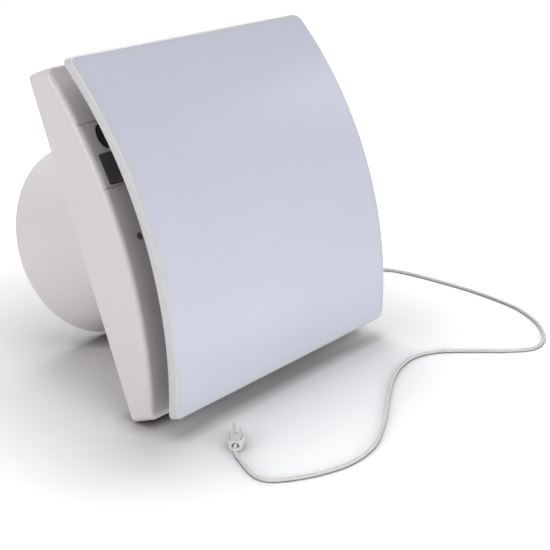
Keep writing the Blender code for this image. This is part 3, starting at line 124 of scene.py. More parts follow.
# Front cover
COVER_WIDTH = 0.160
COVER_HEIGHT = 0.160
COVER_AIR_GAP = 0.0106
COVER_BULGE = 0.0175
COVER_CORNER = 0.004
COVER_EDGE_DEPTH = 0.005
COVER_EDGE_ROUND = 0.0011
COVER_SIDE_ROUND = 0.0006
COVER_EDGE_WALL = 0.002
COVER_FREE_ROUND = 0.0006
COVER_FILLET = 0.0008
COVER_SHEET = 0.0024
# How far in from the cover's outline the painted cool light on its front fades out
PAINTED_COOL_FADE = 0.006
PEG_RADIUS = 0.003
PEG_SPREAD_X = 0.084
PEG_EDGE = 0.011
PEG_ENGAGEMENT = 0.0055
SOCKET_WALL = 0.0015
SOCKET_DEPTH = 0.0045

# Back plate
PLATE_THICKNESS = 0.0025
WALL_HOLE_RADIUS = 0.0025
WALL_HOLE_SPREAD_X = 0.048
WALL_HOLE_EDGE = 0.009

# Duct spigot and the casing's collar round it
SPIGOT_RADIUS = 0.049
SPIGOT_LENGTH = 0.078
SPIGOT_WALL = 0.002
SPIGOT_SIDES = 48
FLANGE_WIDTH = 0.004
FLANGE_THICKNESS = 0.0025
DUCT_LEDGE_HEIGHT = 0.002
DUCT_LEDGE_LENGTH = 0.002
COLLAR_WALL = 0.002
COLLAR_LENGTH = 0.005

# Inlet guard
GUARD_THICKNESS = 0.002
GUARD_BAR = 0.0016
GUARD_RINGS = 3
GUARD_SPOKES = 6
GUARD_HUB_RADIUS = 0.009
GUARD_LIP = 0.0025

# Fan wheel
SHAFT_RADIUS = 0.002
NUT_THICKNESS = 0.0024
GUARD_TO_SHAFT = 0.0006
HUB_RADIUS = 0.020
HUB_LENGTH = 0.022
HUB_WALL = 0.0015
HUB_ROUND = 0.003
BOSS_WALL = 0.0025
BLADE_COUNT = 8
BLADE_AXIAL = 0.014
BLADE_THICKNESS = 0.0014
BLADE_SWEEP_HUB = math.radians(36)
BLADE_SWEEP_TIP = math.radians(42)
BLADE_CAMBER = 0.12
BLADE_EDGE_SHARE = 0.45
BLADE_SPANS = 10
BLADE_CHORDS = 16

# Motor and its bracket
HUB_TO_MOTOR = 0.003
MOTOR_RADIUS = 0.017
MOTOR_LENGTH = 0.030
MOTOR_FLOOR = 0.0015
END_CAP_THICKNESS = 0.002
BEARING_RADIUS = 0.005
CUP_WALL = 0.002
CUP_FLOOR = 0.0017
BRACKET_RING_LENGTH = 0.010
BRACKET_RING_WALL = 0.0016
STRUT_COUNT = 4
STRUT_THICKNESS = 0.0022
MOTOR_SCREW_SPREAD = 0.022
MOTOR_SCREW_RADIUS = 0.0012

# Control panel
PANEL_SIDE_MARGIN = 0.0035
PANEL_WIDTH = 0.0255
PANEL_HEIGHT = 0.0293
PANEL_BELOW_EDGE = 0.0267
PANEL_LIP = 0.001
PANEL_LIP_THICKNESS = 0.0012
PANEL_FACE_MARGIN = 0.0024
PANEL_WRAP_MARGIN = 0.0007
PANEL_SKIN = 0.0012
PANEL_SIDE_SEAM = 0.00005
DISPLAY_MARGIN = 0.001
DISPLAY_WIDTH = 0.022
DISPLAY_HEIGHT = 0.0134
DISPLAY_RISE = 0.0014
DISPLAY_THICKNESS = 0.0016
BUTTON_HALF_WIDTH = 0.0035
BUTTON_HALF_HEIGHT = 0.0053
BUTTON_INSET = 0.0082
BUTTON_BELOW_TOP = 0.0072
BUTTON_PROUD = 0.0004
BUTTON_LIP = 0.001
BUTTON_LIP_THICKNESS = 0.001
BUTTON_TRAVEL = 0.0008
BUTTON_STEM_RADIUS = 0.0015
SWITCH_HEIGHT = 0.0035

# Board posts
BOARD_WIDTH = 0.0262
BOARD_BELOW_EDGE = 0.015
BOARD_SIDE_GAP = 0.002
BOARD_THICKNESS = 0.0016
BOARD_EDGE = 0.0034
POST_HEIGHT = 0.0062
POST_RADIUS = 0.0026

# Screws and their holes
SCREW_RADIUS = 0.0012
SCREW_HEAD_HEIGHT = 0.0015
CASING_SCREW_INSET = 0.0112
CASING_SCREW_LENGTH = 0.009
ACCESS_HOLE_RADIUS = 0.00165
ACCESS_SKIN = 0.0006
BOSS_RADIUS = 0.0038
BOSS_BORE = 0.0024

# Mains connection
TERMINAL_WIDTH = 0.024
TERMINAL_HEIGHT = 0.013
TERMINAL_SIDE_GAP = 0.003
GROMMET_RADIUS = 0.0065
GROMMET_BORE = 0.0045
GROMMET_GROOVE = 0.001
GROMMET_RISE = 0.034
CLAMP_WIDTH = 0.024
CLAMP_RISE = 0.020
CLAMP_FOOT = 0.003
CLAMP_SCREW_INSET = 0.0035

# Pull cord and its bush
PULL_RISE = 0.013
PULL_SETBACK = 0.007
STEM_RADIUS = 0.0013
BUSH_LIP_RADIUS = 0.0036
BUSH_LIP = 0.0006
BUSH_BODY_RADIUS = 0.0026
BUSH_LENGTH = 0.004
CORD_RADIUS = 0.0008
KNOT_RADIUS = 0.00115
KNOT_GROOVE = 0.14
SPRING_TURNS = 6
SPRING_WIRE = 0.00035
SPRING_WIRE_SIDES = 12

# The cord's way over the table, as the construction has it, from the middle of the body's lower rear edge
CORD_ROUTE = (
    (0.0905, -0.0015, 0.0112), (0.0955, -0.0005, 0.0064), (0.0995, 0.0010, 0.0023), (0.1040, 0.0034, 0.0003),
    (0.1100, 0.0072, 0.0), (0.1220, 0.0165, 0.0), (0.1360, 0.0262, 0.0), (0.1490, 0.0318, 0.0),
    (0.1580, 0.0312, 0.0), (0.1640, 0.0252, 0.0), (0.1665, 0.0155, 0.0), (0.1668, 0.0030, 0.0),
    (0.1661, -0.0130, 0.0), (0.1643, -0.0310, 0.0), (0.1612, -0.0465, 0.0), (0.1560, -0.0635, 0.0),
    (0.1493, -0.0750, 0.0), (0.1413, -0.0846, 0.0), (0.1324, -0.0920, 0.0), (0.1230, -0.0969, 0.0),
    (0.1157, -0.0986, 0.0), (0.1098, -0.0981, 0.0), (0.1043, -0.0948, 0.0), (0.0973, -0.0878, 0.0),
    (0.0852, -0.0728, 0.0), (0.0752, -0.0625, 0.0), (0.0639, -0.0575, 0.0), (0.0520, -0.0578, 0.0),
    (0.0359, -0.0625, 0.0), (0.0125, -0.0742, 0.0), (-0.0109, -0.0871, 0.0), (-0.0332, -0.0962, 0.0),
    (-0.0518, -0.0971, 0.0), (-0.0674, -0.0922, 0.0), (-0.0788, -0.0854, 0.0), (-0.0842, -0.0802, 0.0),
    (-0.0855, -0.0752, 0.0), (-0.0840, -0.0703, 0.0), (-0.0814, -0.0654, 0.0), (-0.0787, -0.0609, 0.0002),
)
CURVE_STEPS = 48
CORD_SECTIONS = 1100
CORD_STRANDS = 4
CORD_STRAND_STEPS = 5
CORD_TWIST = 0.0052
CORD_GROOVE = 0.16

# Cord connector
CONNECTOR_X = -0.0718
CONNECTOR_Y = -0.0522
CONNECTOR_HEADING = math.radians(35.6)
CONNECTOR_HEIGHT = 0.0046
CONNECTOR_NOSE = 0.0061
CONNECTOR_WAIST = 0.0050
CONNECTOR_BARB = 0.0077
CONNECTOR_BARB_AT = 0.0079
CONNECTOR_LONG_ARM = 0.0184
CONNECTOR_SHORT_ARM = 0.0135
CONNECTOR_SLOT = 0.0018
CONNECTOR_SLIT = 0.00035
CONNECTOR_SLIT_DEPTH = 0.0012
KEYHOLE_RADIUS = 0.0015
KEYHOLE_DEPTH = 0.0032
KEYHOLE_HEIGHT = 0.0026
KNOT_DEPTH = 0.001265

# How finely the shapes are drawn
SMALLEST_CORNER = 0.0004
CORNER_ROOM = 0.45
CUT_EXTRA = 0.002
OVERLAP = 0.0006
FINE_SIDES = 160
RING_SIDES = 96
ROUND_SIDES = 64
SMALL_SIDES = 32
CORNER_STEPS = 12
SIDE_STEPS = 96
ARCH_STEPS = 96
EDGE_STEPS = 10
SMOOTH_ANGLE = math.radians(35)
BEVEL_ANGLE = math.radians(40)

Arch = namedtuple("Arch", "half end bulge")
BODY_ARCH = Arch(HALF_HEIGHT, BODY_END_DEPTH, BODY_BULGE)
COVER_ARCH = Arch(COVER_HEIGHT / 2, BODY_END_DEPTH + COVER_AIR_GAP, COVER_BULGE)

# The table's frame has its zero under the middle of the body's lower rear edge
TABLE = Matrix.Translation((0, SPIN["pos_m"][1] - HALF_HEIGHT * math.sin(LEAN), 0))


def arch_radius(arch):
    return (arch.half ** 2 + arch.bulge ** 2) / (2 * arch.bulge)


def arch_depth(arch, z):
    """How far an arched front stands before the wall face at height z."""
    radius = arch_radius(arch)
    return arch.end + math.sqrt(radius ** 2 - z ** 2) - (radius - arch.bulge)


# Places that several pieces share
INNER_HALF = HALF_WIDTH - CASING_WALL
DUCT_BORE = SPIGOT_RADIUS - SPIGOT_WALL
COLLAR_BORE = SPIGOT_RADIUS + GAP
GUARD_FRONT = -(arch_depth(BODY_ARCH, SPIGOT_RADIUS) - CASING_WALL - GAP)
GUARD_REAR = GUARD_FRONT + GUARD_THICKNESS
DUCT_FRONT = GUARD_REAR + GAP
SHAFT_FRONT = GUARD_REAR + GUARD_TO_SHAFT
NUT_REAR = SHAFT_FRONT + GAP + NUT_THICKNESS
HUB_FRONT = NUT_REAR + GAP
HUB_REAR = HUB_FRONT + HUB_LENGTH
CAP_FRONT = HUB_REAR + HUB_TO_MOTOR
CAN_FRONT = CAP_FRONT + END_CAP_THICKNESS + GAP
CAN_REAR = CAN_FRONT + MOTOR_LENGTH
CUP_REAR = CAN_REAR + GAP + CUP_FLOOR
BEARING_SEAT = BEARING_RADIUS + GAP
CUP_BORE = MOTOR_RADIUS + GAP
CUP_RADIUS = CUP_BORE + CUP_WALL
BRACKET_REAR = (CAN_FRONT + CAN_REAR + BRACKET_RING_LENGTH) / 2
BRACKET_RADIUS = DUCT_BORE - GAP
BLADE_TIP = DUCT_BORE - TIP_GAP
PLATE_FRONT = -PLATE_THICKNESS
SEAT = PLATE_FRONT - GAP
PEG_SPREAD_Z = BODY_HEIGHT - 2 * PEG_EDGE
WALL_HOLE_SPREAD_Z = BODY_HEIGHT - 2 * WALL_HOLE_EDGE
PANEL_LEFT = -HALF_WIDTH + PANEL_SIDE_MARGIN
PANEL_RIGHT = PANEL_LEFT + PANEL_WIDTH
PANEL_FACE_LEFT = -HALF_WIDTH + PANEL_FACE_MARGIN
PANEL_WRAP_LEFT = -HALF_WIDTH + PANEL_WRAP_MARGIN
PANEL_TOP = HALF_HEIGHT - PANEL_BELOW_EDGE
PANEL_BOTTOM = PANEL_TOP - PANEL_HEIGHT
DISPLAY_LEFT = PANEL_LEFT + DISPLAY_MARGIN
DISPLAY_RIGHT = DISPLAY_LEFT + DISPLAY_WIDTH
DISPLAY_BOTTOM = PANEL_BOTTOM + DISPLAY_RISE
DISPLAY_TOP = DISPLAY_BOTTOM + DISPLAY_HEIGHT
BUTTON_X = PANEL_LEFT + BUTTON_INSET
BUTTON_Z = PANEL_TOP - BUTTON_BELOW_TOP
CASING_SCREW_X = HALF_WIDTH - CASING_SCREW_INSET
CASING_SCREW_SEAT = -CASING_SCREW_LENGTH
PULL_Z = -HALF_HEIGHT + PULL_RISE
PULL_Y = -PULL_SETBACK
BUSH_FACE = HALF_WIDTH + BUSH_LIP
STEM_END = BUSH_FACE + GAP
CORD_LIE = CORD_RADIUS + TABLE_GAP
RIM_DROP = SPIGOT_RADIUS * math.cos(math.pi / SPIGOT_SIDES)
FOREMOST = -BODY_END_DEPTH - BODY_BULGE


# Materials

NOISE_MIDDLE = (0.3, 0.7)
CLOUD_SIZE = 0.035
PATCH_SIZE = 0.012
WAVE_SIZE = 0.02
WAVE_DEPTH = 0.00004
BARE_UNEVENNESS = 0.12
COATED_UNEVENNESS = 0.02


def set_inputs(tree, node, inputs):
    """Gives a node's inputs, by name or number, plain values or the outputs of other nodes."""
    for name, value in dict(inputs).items():
        if isinstance(value, bpy.types.NodeSocket):
            tree.links.new(value, node.inputs[name])
        else:
            node.inputs[name].default_value = value


def add_node(tree, kind, output, inputs=(), **settings):
    """One output of a new shader node."""
    node = tree.nodes.new("ShaderNode" + kind)
    for name, value in settings.items():
        setattr(node, name, value)
    set_inputs(tree, node, inputs)
    return node.outputs[output]


def calculate(tree, operation, *values):
    return add_node(tree, "Math", "Value", enumerate(values), operation=operation)


def along(tree, vector, axis):
    """How far a vector reaches along an axis of the upright object."""
    vectors = {0: vector, 1: UPRIGHT.to_3x3() @ Vector(axis)}
    return add_node(tree, "VectorMath", "Value", vectors, operation="DOT_PRODUCT")


def spread(tree, value, start, end, low=0.0, high=1.0, shape="SMOOTHSTEP"):
    """A value's part from start to end, spread over the range from low to high."""
    limits = {"Value": value, "From Min": start, "From Max": end, "To Min": low, "To Max": high}
    return add_node(tree, "MapRange", "Result", limits, interpolation_type=shape)


def middle_part(tree, value, low=0.0, high=1.0):
    """The middle part of a noise or of a slope, spread over a range."""
    return spread(tree, value, *NOISE_MIDDLE, low, high, "LINEAR")


def noise(tree, place, size, detail=3.0, stretch=(1, 1, 1)):
    """A noise value whose spots are about as large as size, longer where stretch is below one."""
    stretched = add_node(tree, "Mapping", "Vector", {"Vector": place, "Scale": stretch})
    return add_node(tree, "TexNoise", "Fac", {"Vector": stretched, "Scale": 1 / size, "Detail": detail})


def clouds(tree, place, size, detail=3.0):
    return middle_part(tree, noise(tree, place, size, detail))


def mixed_colour(tree, share, first, second):
    return add_node(tree, "Mix", "Result", {"Factor": share, "A": first, "B": second}, data_type="RGBA")


def mixed_shader(tree, share, first, second):
    return add_node(tree, "MixShader", "Shader", {"Fac": share, 1: first, 2: second})


def new_material(name, colour, roughness, metallic=0.0):
    """A material with its shader, and a source of places on the object."""
    material = bpy.data.materials.new(name)
    material.use_nodes = True
    tree = material.node_tree
    shader = tree.nodes["Principled BSDF"]
    set_inputs(tree, shader, {"Base Color": (*colour, 1), "Roughness": roughness, "Metallic": metallic})
    return material, tree, shader, add_node(tree, "TexCoord", "Object")


def vary_colour(tree, shader, share, first, second):
    set_inputs(tree, shader, {"Base Color": mixed_colour(tree, share, (*first, 1), (*second, 1))})


def vary_roughness(tree, shader, value, low, high):
    set_inputs(tree, shader, {"Roughness": middle_part(tree, value, low, high)})


def add_bump(tree, shader, value, depth, strength=1.0, below=None):
    """Relief of the given depth in metres, laid over any relief before it."""
    inputs = {"Height": value, "Distance": depth, "Strength": strength}
    if below is not None:
        inputs["Normal"] = below
    relief = add_node(tree, "Bump", "Normal", inputs)
    set_inputs(tree, shader, {"Normal": relief})
    return relief


def shade(colour, factor):
    return tuple(channel * factor for channel in colour)


def moulded(name, colour, roughness, grain=0.0005, depth=0.000012, swirl=0.03, coat=0.0, coat_roughness=0.05):
    """Moulded plastic: a fine spark-eroded grain, faint flow clouds in the colour and an uneven gloss."""
    material, tree, shader, place = new_material(name, colour, roughness)
    vary_colour(tree, shader, clouds(tree, place, CLOUD_SIZE), colour, shade(colour, 1 - swirl))
    uneven = roughness * (COATED_UNEVENNESS if coat else BARE_UNEVENNESS)
    vary_roughness(tree, shader, noise(tree, place, PATCH_SIZE, 4), roughness - uneven, roughness + uneven)
    waves = add_bump(tree, shader, noise(tree, place, WAVE_SIZE, 1), WAVE_DEPTH, strength=0.35)
    add_bump(tree, shader, noise(tree, place, grain, 2), depth, strength=0.6, below=waves)
    set_inputs(tree, shader, {"IOR": 1.5})
    if coat:
        set_inputs(tree, shader, {"Coat Weight": coat, "Coat Roughness": coat_roughness})
    return material


def painted_cool_front(name, edge_colour, *look, **trim):
    """A moulded finish with painted cool light on its front: the look's cool colour there stands in for cool
    light falling on the front. The tint fades out towards the turned edge; the sides and the inside have the
    plain colour."""
    material = moulded(name, *look, **trim)
    tree = material.node_tree
    shader = tree.nodes["Principled BSDF"]
    place = add_node(tree, "TexCoord", "Object")
    inside = []
    for axis, half in (((1, 0, 0), COVER_WIDTH / 2), ((0, 0, 1), COVER_HEIGHT / 2)):
        middle = (UPRIGHT.to_3x3() @ Vector(axis)).dot(UPRIGHT.translation)
        off = calculate(tree, "SUBTRACT", along(tree, place, axis), middle)
        inside.append(calculate(tree, "SUBTRACT", half, calculate(tree, "ABSOLUTE", off)))
    fade = spread(tree, calculate(tree, "MINIMUM", *inside), -PAINTED_COOL_FADE / 3, PAINTED_COOL_FADE)
    # Painted cool light on the side that faces the front; the sides and the inside keep the plain colour
    facing = middle_part(tree, along(tree, add_node(tree, "TexCoord", "Normal"), (0, -1, 0)))
    share = calculate(tree, "MULTIPLY", facing, fade)
    painted_cool_colour = shader.inputs["Base Color"].links[0].from_socket
    set_inputs(tree, shader, {"Base Color": mixed_colour(tree, share, (*edge_colour, 1), painted_cool_colour)})
    return material


def metal(name, colour, roughness, stretch=(1, 0.06, 1)):
    """Metal with fine drawn or turned lines and cloudy plating."""
    material, tree, shader, place = new_material(name, colour, roughness, 1.0)
    vary_colour(tree, shader, clouds(tree, place, 0.006), colour, shade(colour, 0.86))
    lines = noise(tree, place, 0.0003, 4, stretch=stretch)
    vary_roughness(tree, shader, lines, roughness * 0.75, roughness * 1.3)
    add_bump(tree, shader, lines, 0.00001, strength=0.7)
    return material


def circuit_board(name):
    """Green lacquer over raised copper tracks."""
    green = (0.03, 0.16, 0.07)
    material, tree, shader, place = new_material(name, green, 0.35)
    cells = add_node(tree, "TexVoronoi", "Distance", {"Vector": place, "Scale": 420},
                     distance="CHEBYCHEV", feature="F2")
    tracks = spread(tree, cells, 0.42, 0.5)
    vary_colour(tree, shader, tracks, green, (0.06, 0.24, 0.10))
    add_bump(tree, shader, tracks, 0.00004)
    vary_roughness(tree, shader, noise(tree, place, 0.004), 0.25, 0.45)
    return material


def rubber(name):
    """Dull black rubber with a dusty bloom."""
    black = (0.03, 0.03, 0.03)
    material, tree, shader, place = new_material(name, black, 0.8)
    vary_colour(tree, shader, clouds(tree, place, 0.003, 5), black, (0.055, 0.053, 0.05))
    vary_roughness(tree, shader, noise(tree, place, 0.002), 0.65, 0.9)
    add_bump(tree, shader, noise(tree, place, 0.0004), 0.00002)
    return material


def woven_cord(name):
    """Fine fibres along the strands of the cord, with slight soiling in faint clouds."""
    colour = (0.70, 0.69, 0.68)
    material, tree, shader, place = new_material(name, colour, 0.75)
    vary_colour(tree, shader, clouds(tree, place, 0.0022, 4), colour, (0.62, 0.61, 0.60))
    vary_roughness(tree, shader, noise(tree, place, 0.001), 0.62, 0.85)
    add_bump(tree, shader, noise(tree, place, 0.00016, 2), 0.00003, strength=0.8)
    set_inputs(tree, shader, {"Sheen Weight": 0.25, "Sheen Roughness": 0.5})
    return material


def smoked_window(name):
    """A dark olive window over a display that is off, with a faint sheen and hairline marks."""
    colour = (0.058, 0.060, 0.046)
    material, tree, shader, place = new_material(name, colour, 0.12)
    vary_colour(tree, shader, clouds(tree, place, 0.009, 2), colour, (0.078, 0.082, 0.062))
    vary_roughness(tree, shader, noise(tree, place, 0.0009, 5, stretch=(1, 1, 0.08)), 0.09, 0.17)
    set_inputs(tree, shader, {"Coat Weight": 0.6, "Coat Roughness": 0.04})
    return material


MATERIALS = {
    "satin_white": moulded("satin_white", (0.70, 0.655, 0.66), 0.42),
    # The cover: its plain colour for the sides and inside, and a cool colour on its front that is painted
    # cool light
    "gloss_white": painted_cool_front("gloss_white", (0.62, 0.615, 0.64), (0.625, 0.652, 0.766), 0.2,
                          grain=0.0009, depth=0.000003, swirl=0.015, coat=0.3, coat_roughness=0.16),
    "natural_white": moulded("natural_white", (0.68, 0.675, 0.64), 0.48,
                             grain=0.0006, depth=0.00002, swirl=0.05),
    "button_black": moulded("button_black", (0.010, 0.008, 0.009), 0.25, depth=0.000006, swirl=0.2, coat=0.3),
    "grey_plastic": moulded("grey_plastic", (0.35, 0.36, 0.37), 0.5, depth=0.00002, swirl=0.06),
    "component_blue": moulded("component_blue", (0.02, 0.03, 0.08), 0.35, depth=0.00001, swirl=0.1),
    "display_dark": smoked_window("display_dark"),
    "board_green": circuit_board("board_green"),
    "cord_white": woven_cord("cord_white"),
    "rubber_black": rubber("rubber_black"),
    "brass": metal("brass", (0.65, 0.48, 0.20), 0.3),
    "bronze": metal("bronze", (0.45, 0.28, 0.14), 0.42, stretch=(1, 1, 1)),
    "copper": metal("copper", (0.62, 0.26, 0.12), 0.34, stretch=(1, 1, 1)),
    "motor_steel": metal("motor_steel", (0.55, 0.55, 0.55), 0.34),
    "bright_steel": metal("bright_steel", (0.72, 0.72, 0.72), 0.22),
}

# The pieces whose solids are shown as they are, by the slot that they are finished in
CARRIED_OVER = {
    "natural_white": ("pull_plunger", "terminal_block", "cable_clamp"),
    "grey_plastic": ("display_module", "pull_switch_body"),
    "board_green": ("control_board",),
    "button_black": ("button_switch",),
    "component_blue": ("relay", "capacitor"),
    "brass": ("impeller_nut", "terminal_screw_1", "terminal_screw_2", "terminal_screw_3"),
    "bronze": ("bearing_front", "bearing_rear"),
    "copper": ("winding_front", "winding_rear"),
    "motor_steel": ("motor_can", "motor_end_cap", "stator_core", "motor_rotor"),
    "bright_steel": ("motor_shaft", "board_screw_1", "board_screw_2", "clamp_screw_1", "clamp_screw_2"),
}


# Shapes

def skin(bm, rows):
    """Faces between closed rows of vertices, with three corners where a row is one point."""
    for first, second in zip(rows, rows[1:]):
        for i in range(len(first)):
            j = (i + 1) % len(first)
            bm.faces.new(list(dict.fromkeys((first[i], first[j], second[j], second[i]))))


def strips(bm, loop):
    """Closes a loop by strips from its first half to its second half."""
    for i in range(len(loop) // 2 - 1):
        bm.faces.new((loop[i], loop[i + 1], loop[-2 - i], loop[-1 - i]))


def prism(outline, low, high, place):
    """An outline of pairs pushed from low to high; place turns (a, b, height) into a point."""
    bm = bmesh.new()
    floor, roof = ([bm.verts.new(place(a, b, height)) for a, b in outline] for height in (low, high))
    bm.faces.new(floor)
    bm.faces.new(roof)
    skin(bm, (floor, roof))
    return bm


def along_x(a, b, height):
    return (height, a, b)


def along_y(a, b, height):
    return (a, height, b)


def rectangle(across, upright):
    left, right = across
    low, high = upright
    return [(left, low), (right, low), (right, high), (left, high)]


def circle(radius, sides):
    angles = [2 * math.pi * (i + 0.5) / sides for i in range(sides)]
    return [(radius * math.sin(a), -radius * math.cos(a)) for a in angles]


def rod(radius, front, rear, x=0.0, z=0.0, sides=SMALL_SIDES):
    """A round bar along y."""
    return prism([(x + a, z + b) for a, b in circle(radius, sides)], front, rear, along_y)


def rods(radius, front, rear, places, sides=SMALL_SIDES):
    return [rod(radius, front, rear, x, z, sides) for x, z in places]


def cross_rod(radius, left, right, y, z, sides=SMALL_SIDES):
    """A round bar along x."""
    return prism([(y + a, z + b) for a, b in circle(radius, sides)], left, right, along_x)


def soften(outline, radius, steps=4, closed=True):
    """An outline with its corners rounded, as far as their sides have room."""
    points = [Vector(pair) for pair in outline]
    rounded = []
    for i, corner in enumerate(points):
        if not closed and i in (0, len(points) - 1):
            rounded.append(corner)
            continue
        back = points[i - 1] - corner
        ahead = points[(i + 1) % len(points)] - corner
        reach = min(radius, back.length * CORNER_ROOM, ahead.length * CORNER_ROOM)
        start = corner + back.normalized() * reach
        end = corner + ahead.normalized() * reach
        for step in range(steps + 1):
            share = step / steps
            rounded.append(start.lerp(corner, share).lerp(corner.lerp(end, share), share))
    return [tuple(point) for point in rounded]


def turned(profile, sides=ROUND_SIDES, ring=True, corner=0.0):
    """A profile of (radius, y), its corners rounded by the given radius, turned about the y axis. A ring's
    profile closes on itself."""
    bm = bmesh.new()
    rows = []
    for radius, y in soften(profile, corner, closed=ring) if corner else profile:
        if radius == 0:
            rows.append([bm.verts.new((0, y, 0))] * sides)
        else:
            rows.append([bm.verts.new((a, y, b)) for a, b in circle(radius, sides)])
    skin(bm, rows + rows[:1] if ring else rows)
    return bm


def moved(bm, offset=(0, 0, 0), turn=None):
    if turn is not None:
        bmesh.ops.transform(bm, matrix=turn, verts=bm.verts)
    bmesh.ops.translate(bm, vec=offset, verts=bm.verts)
    return bm


def about_y(angle):
    return Matrix.Rotation(angle, 4, "Y")


ALONG_X = Matrix.Rotation(math.radians(-90), 4, "Z")
FACING_BACK = Matrix.Rotation(math.pi, 4, "X")


def rounded_rectangle(x_span, z_span, corner):
    return soften(rectangle(x_span, z_span), corner, steps=6)


def arched_slab(x_span, z_span, front, back, arch=BODY_ARCH, steps=32):
    """A slab that follows an arch: front and back are depths before it, negative behind it."""
    levels = [z_span[0] + (z_span[1] - z_span[0]) * i / steps for i in range(steps + 1)]
    near = [(-(arch_depth(arch, z) + front), z) for z in levels]
    far = [(-(arch_depth(arch, z) + back), z) for z in reversed(levels)]
    return prism(near + far, *x_span, along_x)


def quarter(steps=EDGE_STEPS):
    return [math.radians(90) * i / steps for i in range(steps + 1)]


def outline_right(width, height, corner, inset, end_inset):
    """The right half of a rounded rectangle, from its lower to its upper edge."""
    half_w = width / 2 - inset
    half_h = height / 2 - end_inset
    radius = max(corner - inset, SMALLEST_CORNER)
    turn = quarter(CORNER_STEPS)
    lower = [(half_w - radius + radius * math.sin(a), radius - half_h - radius * math.cos(a)) for a in turn]
    upper = [(half_w - radius + radius * math.cos(a), half_h - radius + radius * math.sin(a)) for a in turn]
    run = 2 * (half_h - radius)
    side = [(half_w, radius - half_h + run * i / SIDE_STEPS) for i in range(1, SIDE_STEPS)]
    return lower + side + upper


def tray(width, height, corner, rings):
    """A shell with a rounded outline: rings of (side inset, end inset, depth at z) run from the middle of its
    front, round its edge and back to the middle of its inside. Strips across the width close both ends."""
    bm = bmesh.new()
    loops = []
    for inset, end_inset, depth in rings:
        right = outline_right(width, height, corner, inset, end_inset)
        points = right + [(-x, z) for x, z in reversed(right)]
        loops.append([bm.verts.new((x, -depth(z), z)) for x, z in points])
    skin(bm, loops)
    strips(bm, loops[0])
    strips(bm, loops[-1])
    return bm


def front_edge(arch, before, radius, end_radius=None):
    """Rings from an arched front over its round edge to its sides, with a margin that keeps the front even.
    The upper and lower ends may have a smaller round than the sides: it changes over at the corners."""
    end_radius = end_radius or radius

    def depth(z, angle):
        share = min(max((abs(z) - arch.half + 2 * radius) / radius, 0), 1)
        round_here = radius + (end_radius - radius) * share * share * (3 - 2 * share)
        return arch_depth(arch, z) + before - round_here * (1 - math.cos(angle))

    rings = [(radius * 1.6, end_radius * 1.6, lambda z: depth(z, 0))]
    for angle in quarter():
        inward = 1 - math.sin(angle)
        rings.append((radius * inward, end_radius * inward, lambda z, a=angle: depth(z, a)))
    return rings


def free_edge(wall, radius, depth):
    """Rings round the free edge of a shell's wall, from its outer to its inner side."""
    outer = [(radius * (1 - math.cos(a)), radius * (1 - math.sin(a))) for a in quarter(4)]
    rings = outer + [(wall - inset, rise) for inset, rise in reversed(outer)]
    return [(inset, inset, lambda z, r=rise: depth(z) + r) for inset, rise in rings]


def inner_fillet(wall, radius, depth):
    """Rings from the inner side of a shell's wall to the inner side of its front."""
    turns = [(wall + radius * (1 - math.cos(a)), radius * (1 - math.sin(a))) for a in quarter(4)]
    turns.append((wall + radius * 2, 0))
    return [(inset, inset, lambda z, d=drop: depth(z) - d) for inset, drop in turns]


def spokes(section, start, end, count):
    """Bars from the middle outwards, evenly set about the y axis."""
    return [moved(prism(section, start, end, along_x), turn=about_y(2 * math.pi * (number + 0.5) / count))
            for number in range(count)]


def corners_of(spread_x, spread_z):
    return [(x, z) for x in (-spread_x / 2, spread_x / 2) for z in (-spread_z / 2, spread_z / 2)]


# Objects

def new_object(name, bm, place=UPRIGHT):
    """A smooth-shaded object from a finished bmesh, which it uses up."""
    bmesh.ops.recalc_face_normals(bm, faces=bm.faces)
    mesh = bpy.data.meshes.new(name)
    bm.to_mesh(mesh)
    bm.free()
    mesh.shade_smooth()
    mesh.set_sharp_from_angle(angle=SMOOTH_ANGLE)
    obj = bpy.data.objects.new(name, mesh)
    bpy.context.scene.collection.objects.link(obj)
    obj.matrix_world = place
    return obj


def carve(obj, joins=(), cuts=(), keep=()):
    """Joins solids to an object, cuts others out of it and keeps what lies in the last ones."""
    operations = [(bm, "UNION") for bm in joins] + [(bm, "DIFFERENCE") for bm in cuts]
    operations += [(bm, "INTERSECT") for bm in keep]
    tools = []
    for bm, operation in operations:
        tool = new_object(f"{obj.name}_tool", bm, obj.matrix_world)
        modifier = obj.modifiers.new(tool.name, "BOOLEAN")
        modifier.operation = operation
        modifier.solver = "EXACT"
        modifier.object = tool
        tools.append(tool)
    bpy.context.view_layer.update()
    evaluated = obj.evaluated_get(bpy.context.evaluated_depsgraph_get())
    mesh = bpy.data.meshes.new_from_object(evaluated)
    obj.modifiers.clear()
    obj.data = mesh
    mesh.materials.clear()
    mesh.shade_smooth()
    mesh.set_sharp_from_angle(angle=SMOOTH_ANGLE)
    for tool in tools:
        bpy.data.objects.remove(tool, do_unlink=True)
    return obj


def mesh_copy(obj):
    """The object's mesh as a bmesh, and the object taken away."""
    bm = bmesh.new()
    bm.from_mesh(obj.data)
    bpy.data.objects.remove(obj, do_unlink=True)
    return bm


def dress(obj, slot, body, *nodes, bevel=0.0):
    """Finishes a piece, has it ride on a body and stand for the nodes."""
    obj.data.transform(obj.matrix_world)
    obj.matrix_world = Matrix.Identity(4)
    obj.data.materials.clear()
    obj.data.materials.append(MATERIALS[slot])
    if bevel:
        modifier = obj.modifiers.new("edges", "BEVEL")
        modifier.width = bevel
        modifier.segments = 3
        modifier.limit_method = "ANGLE"
        modifier.angle_limit = BEVEL_ANGLE
        weighted = obj.modifiers.new("even_faces", "WEIGHTED_NORMAL")
        weighted.keep_sharp = False
    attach(obj, body)
    if nodes:
        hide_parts(*nodes)
    return obj


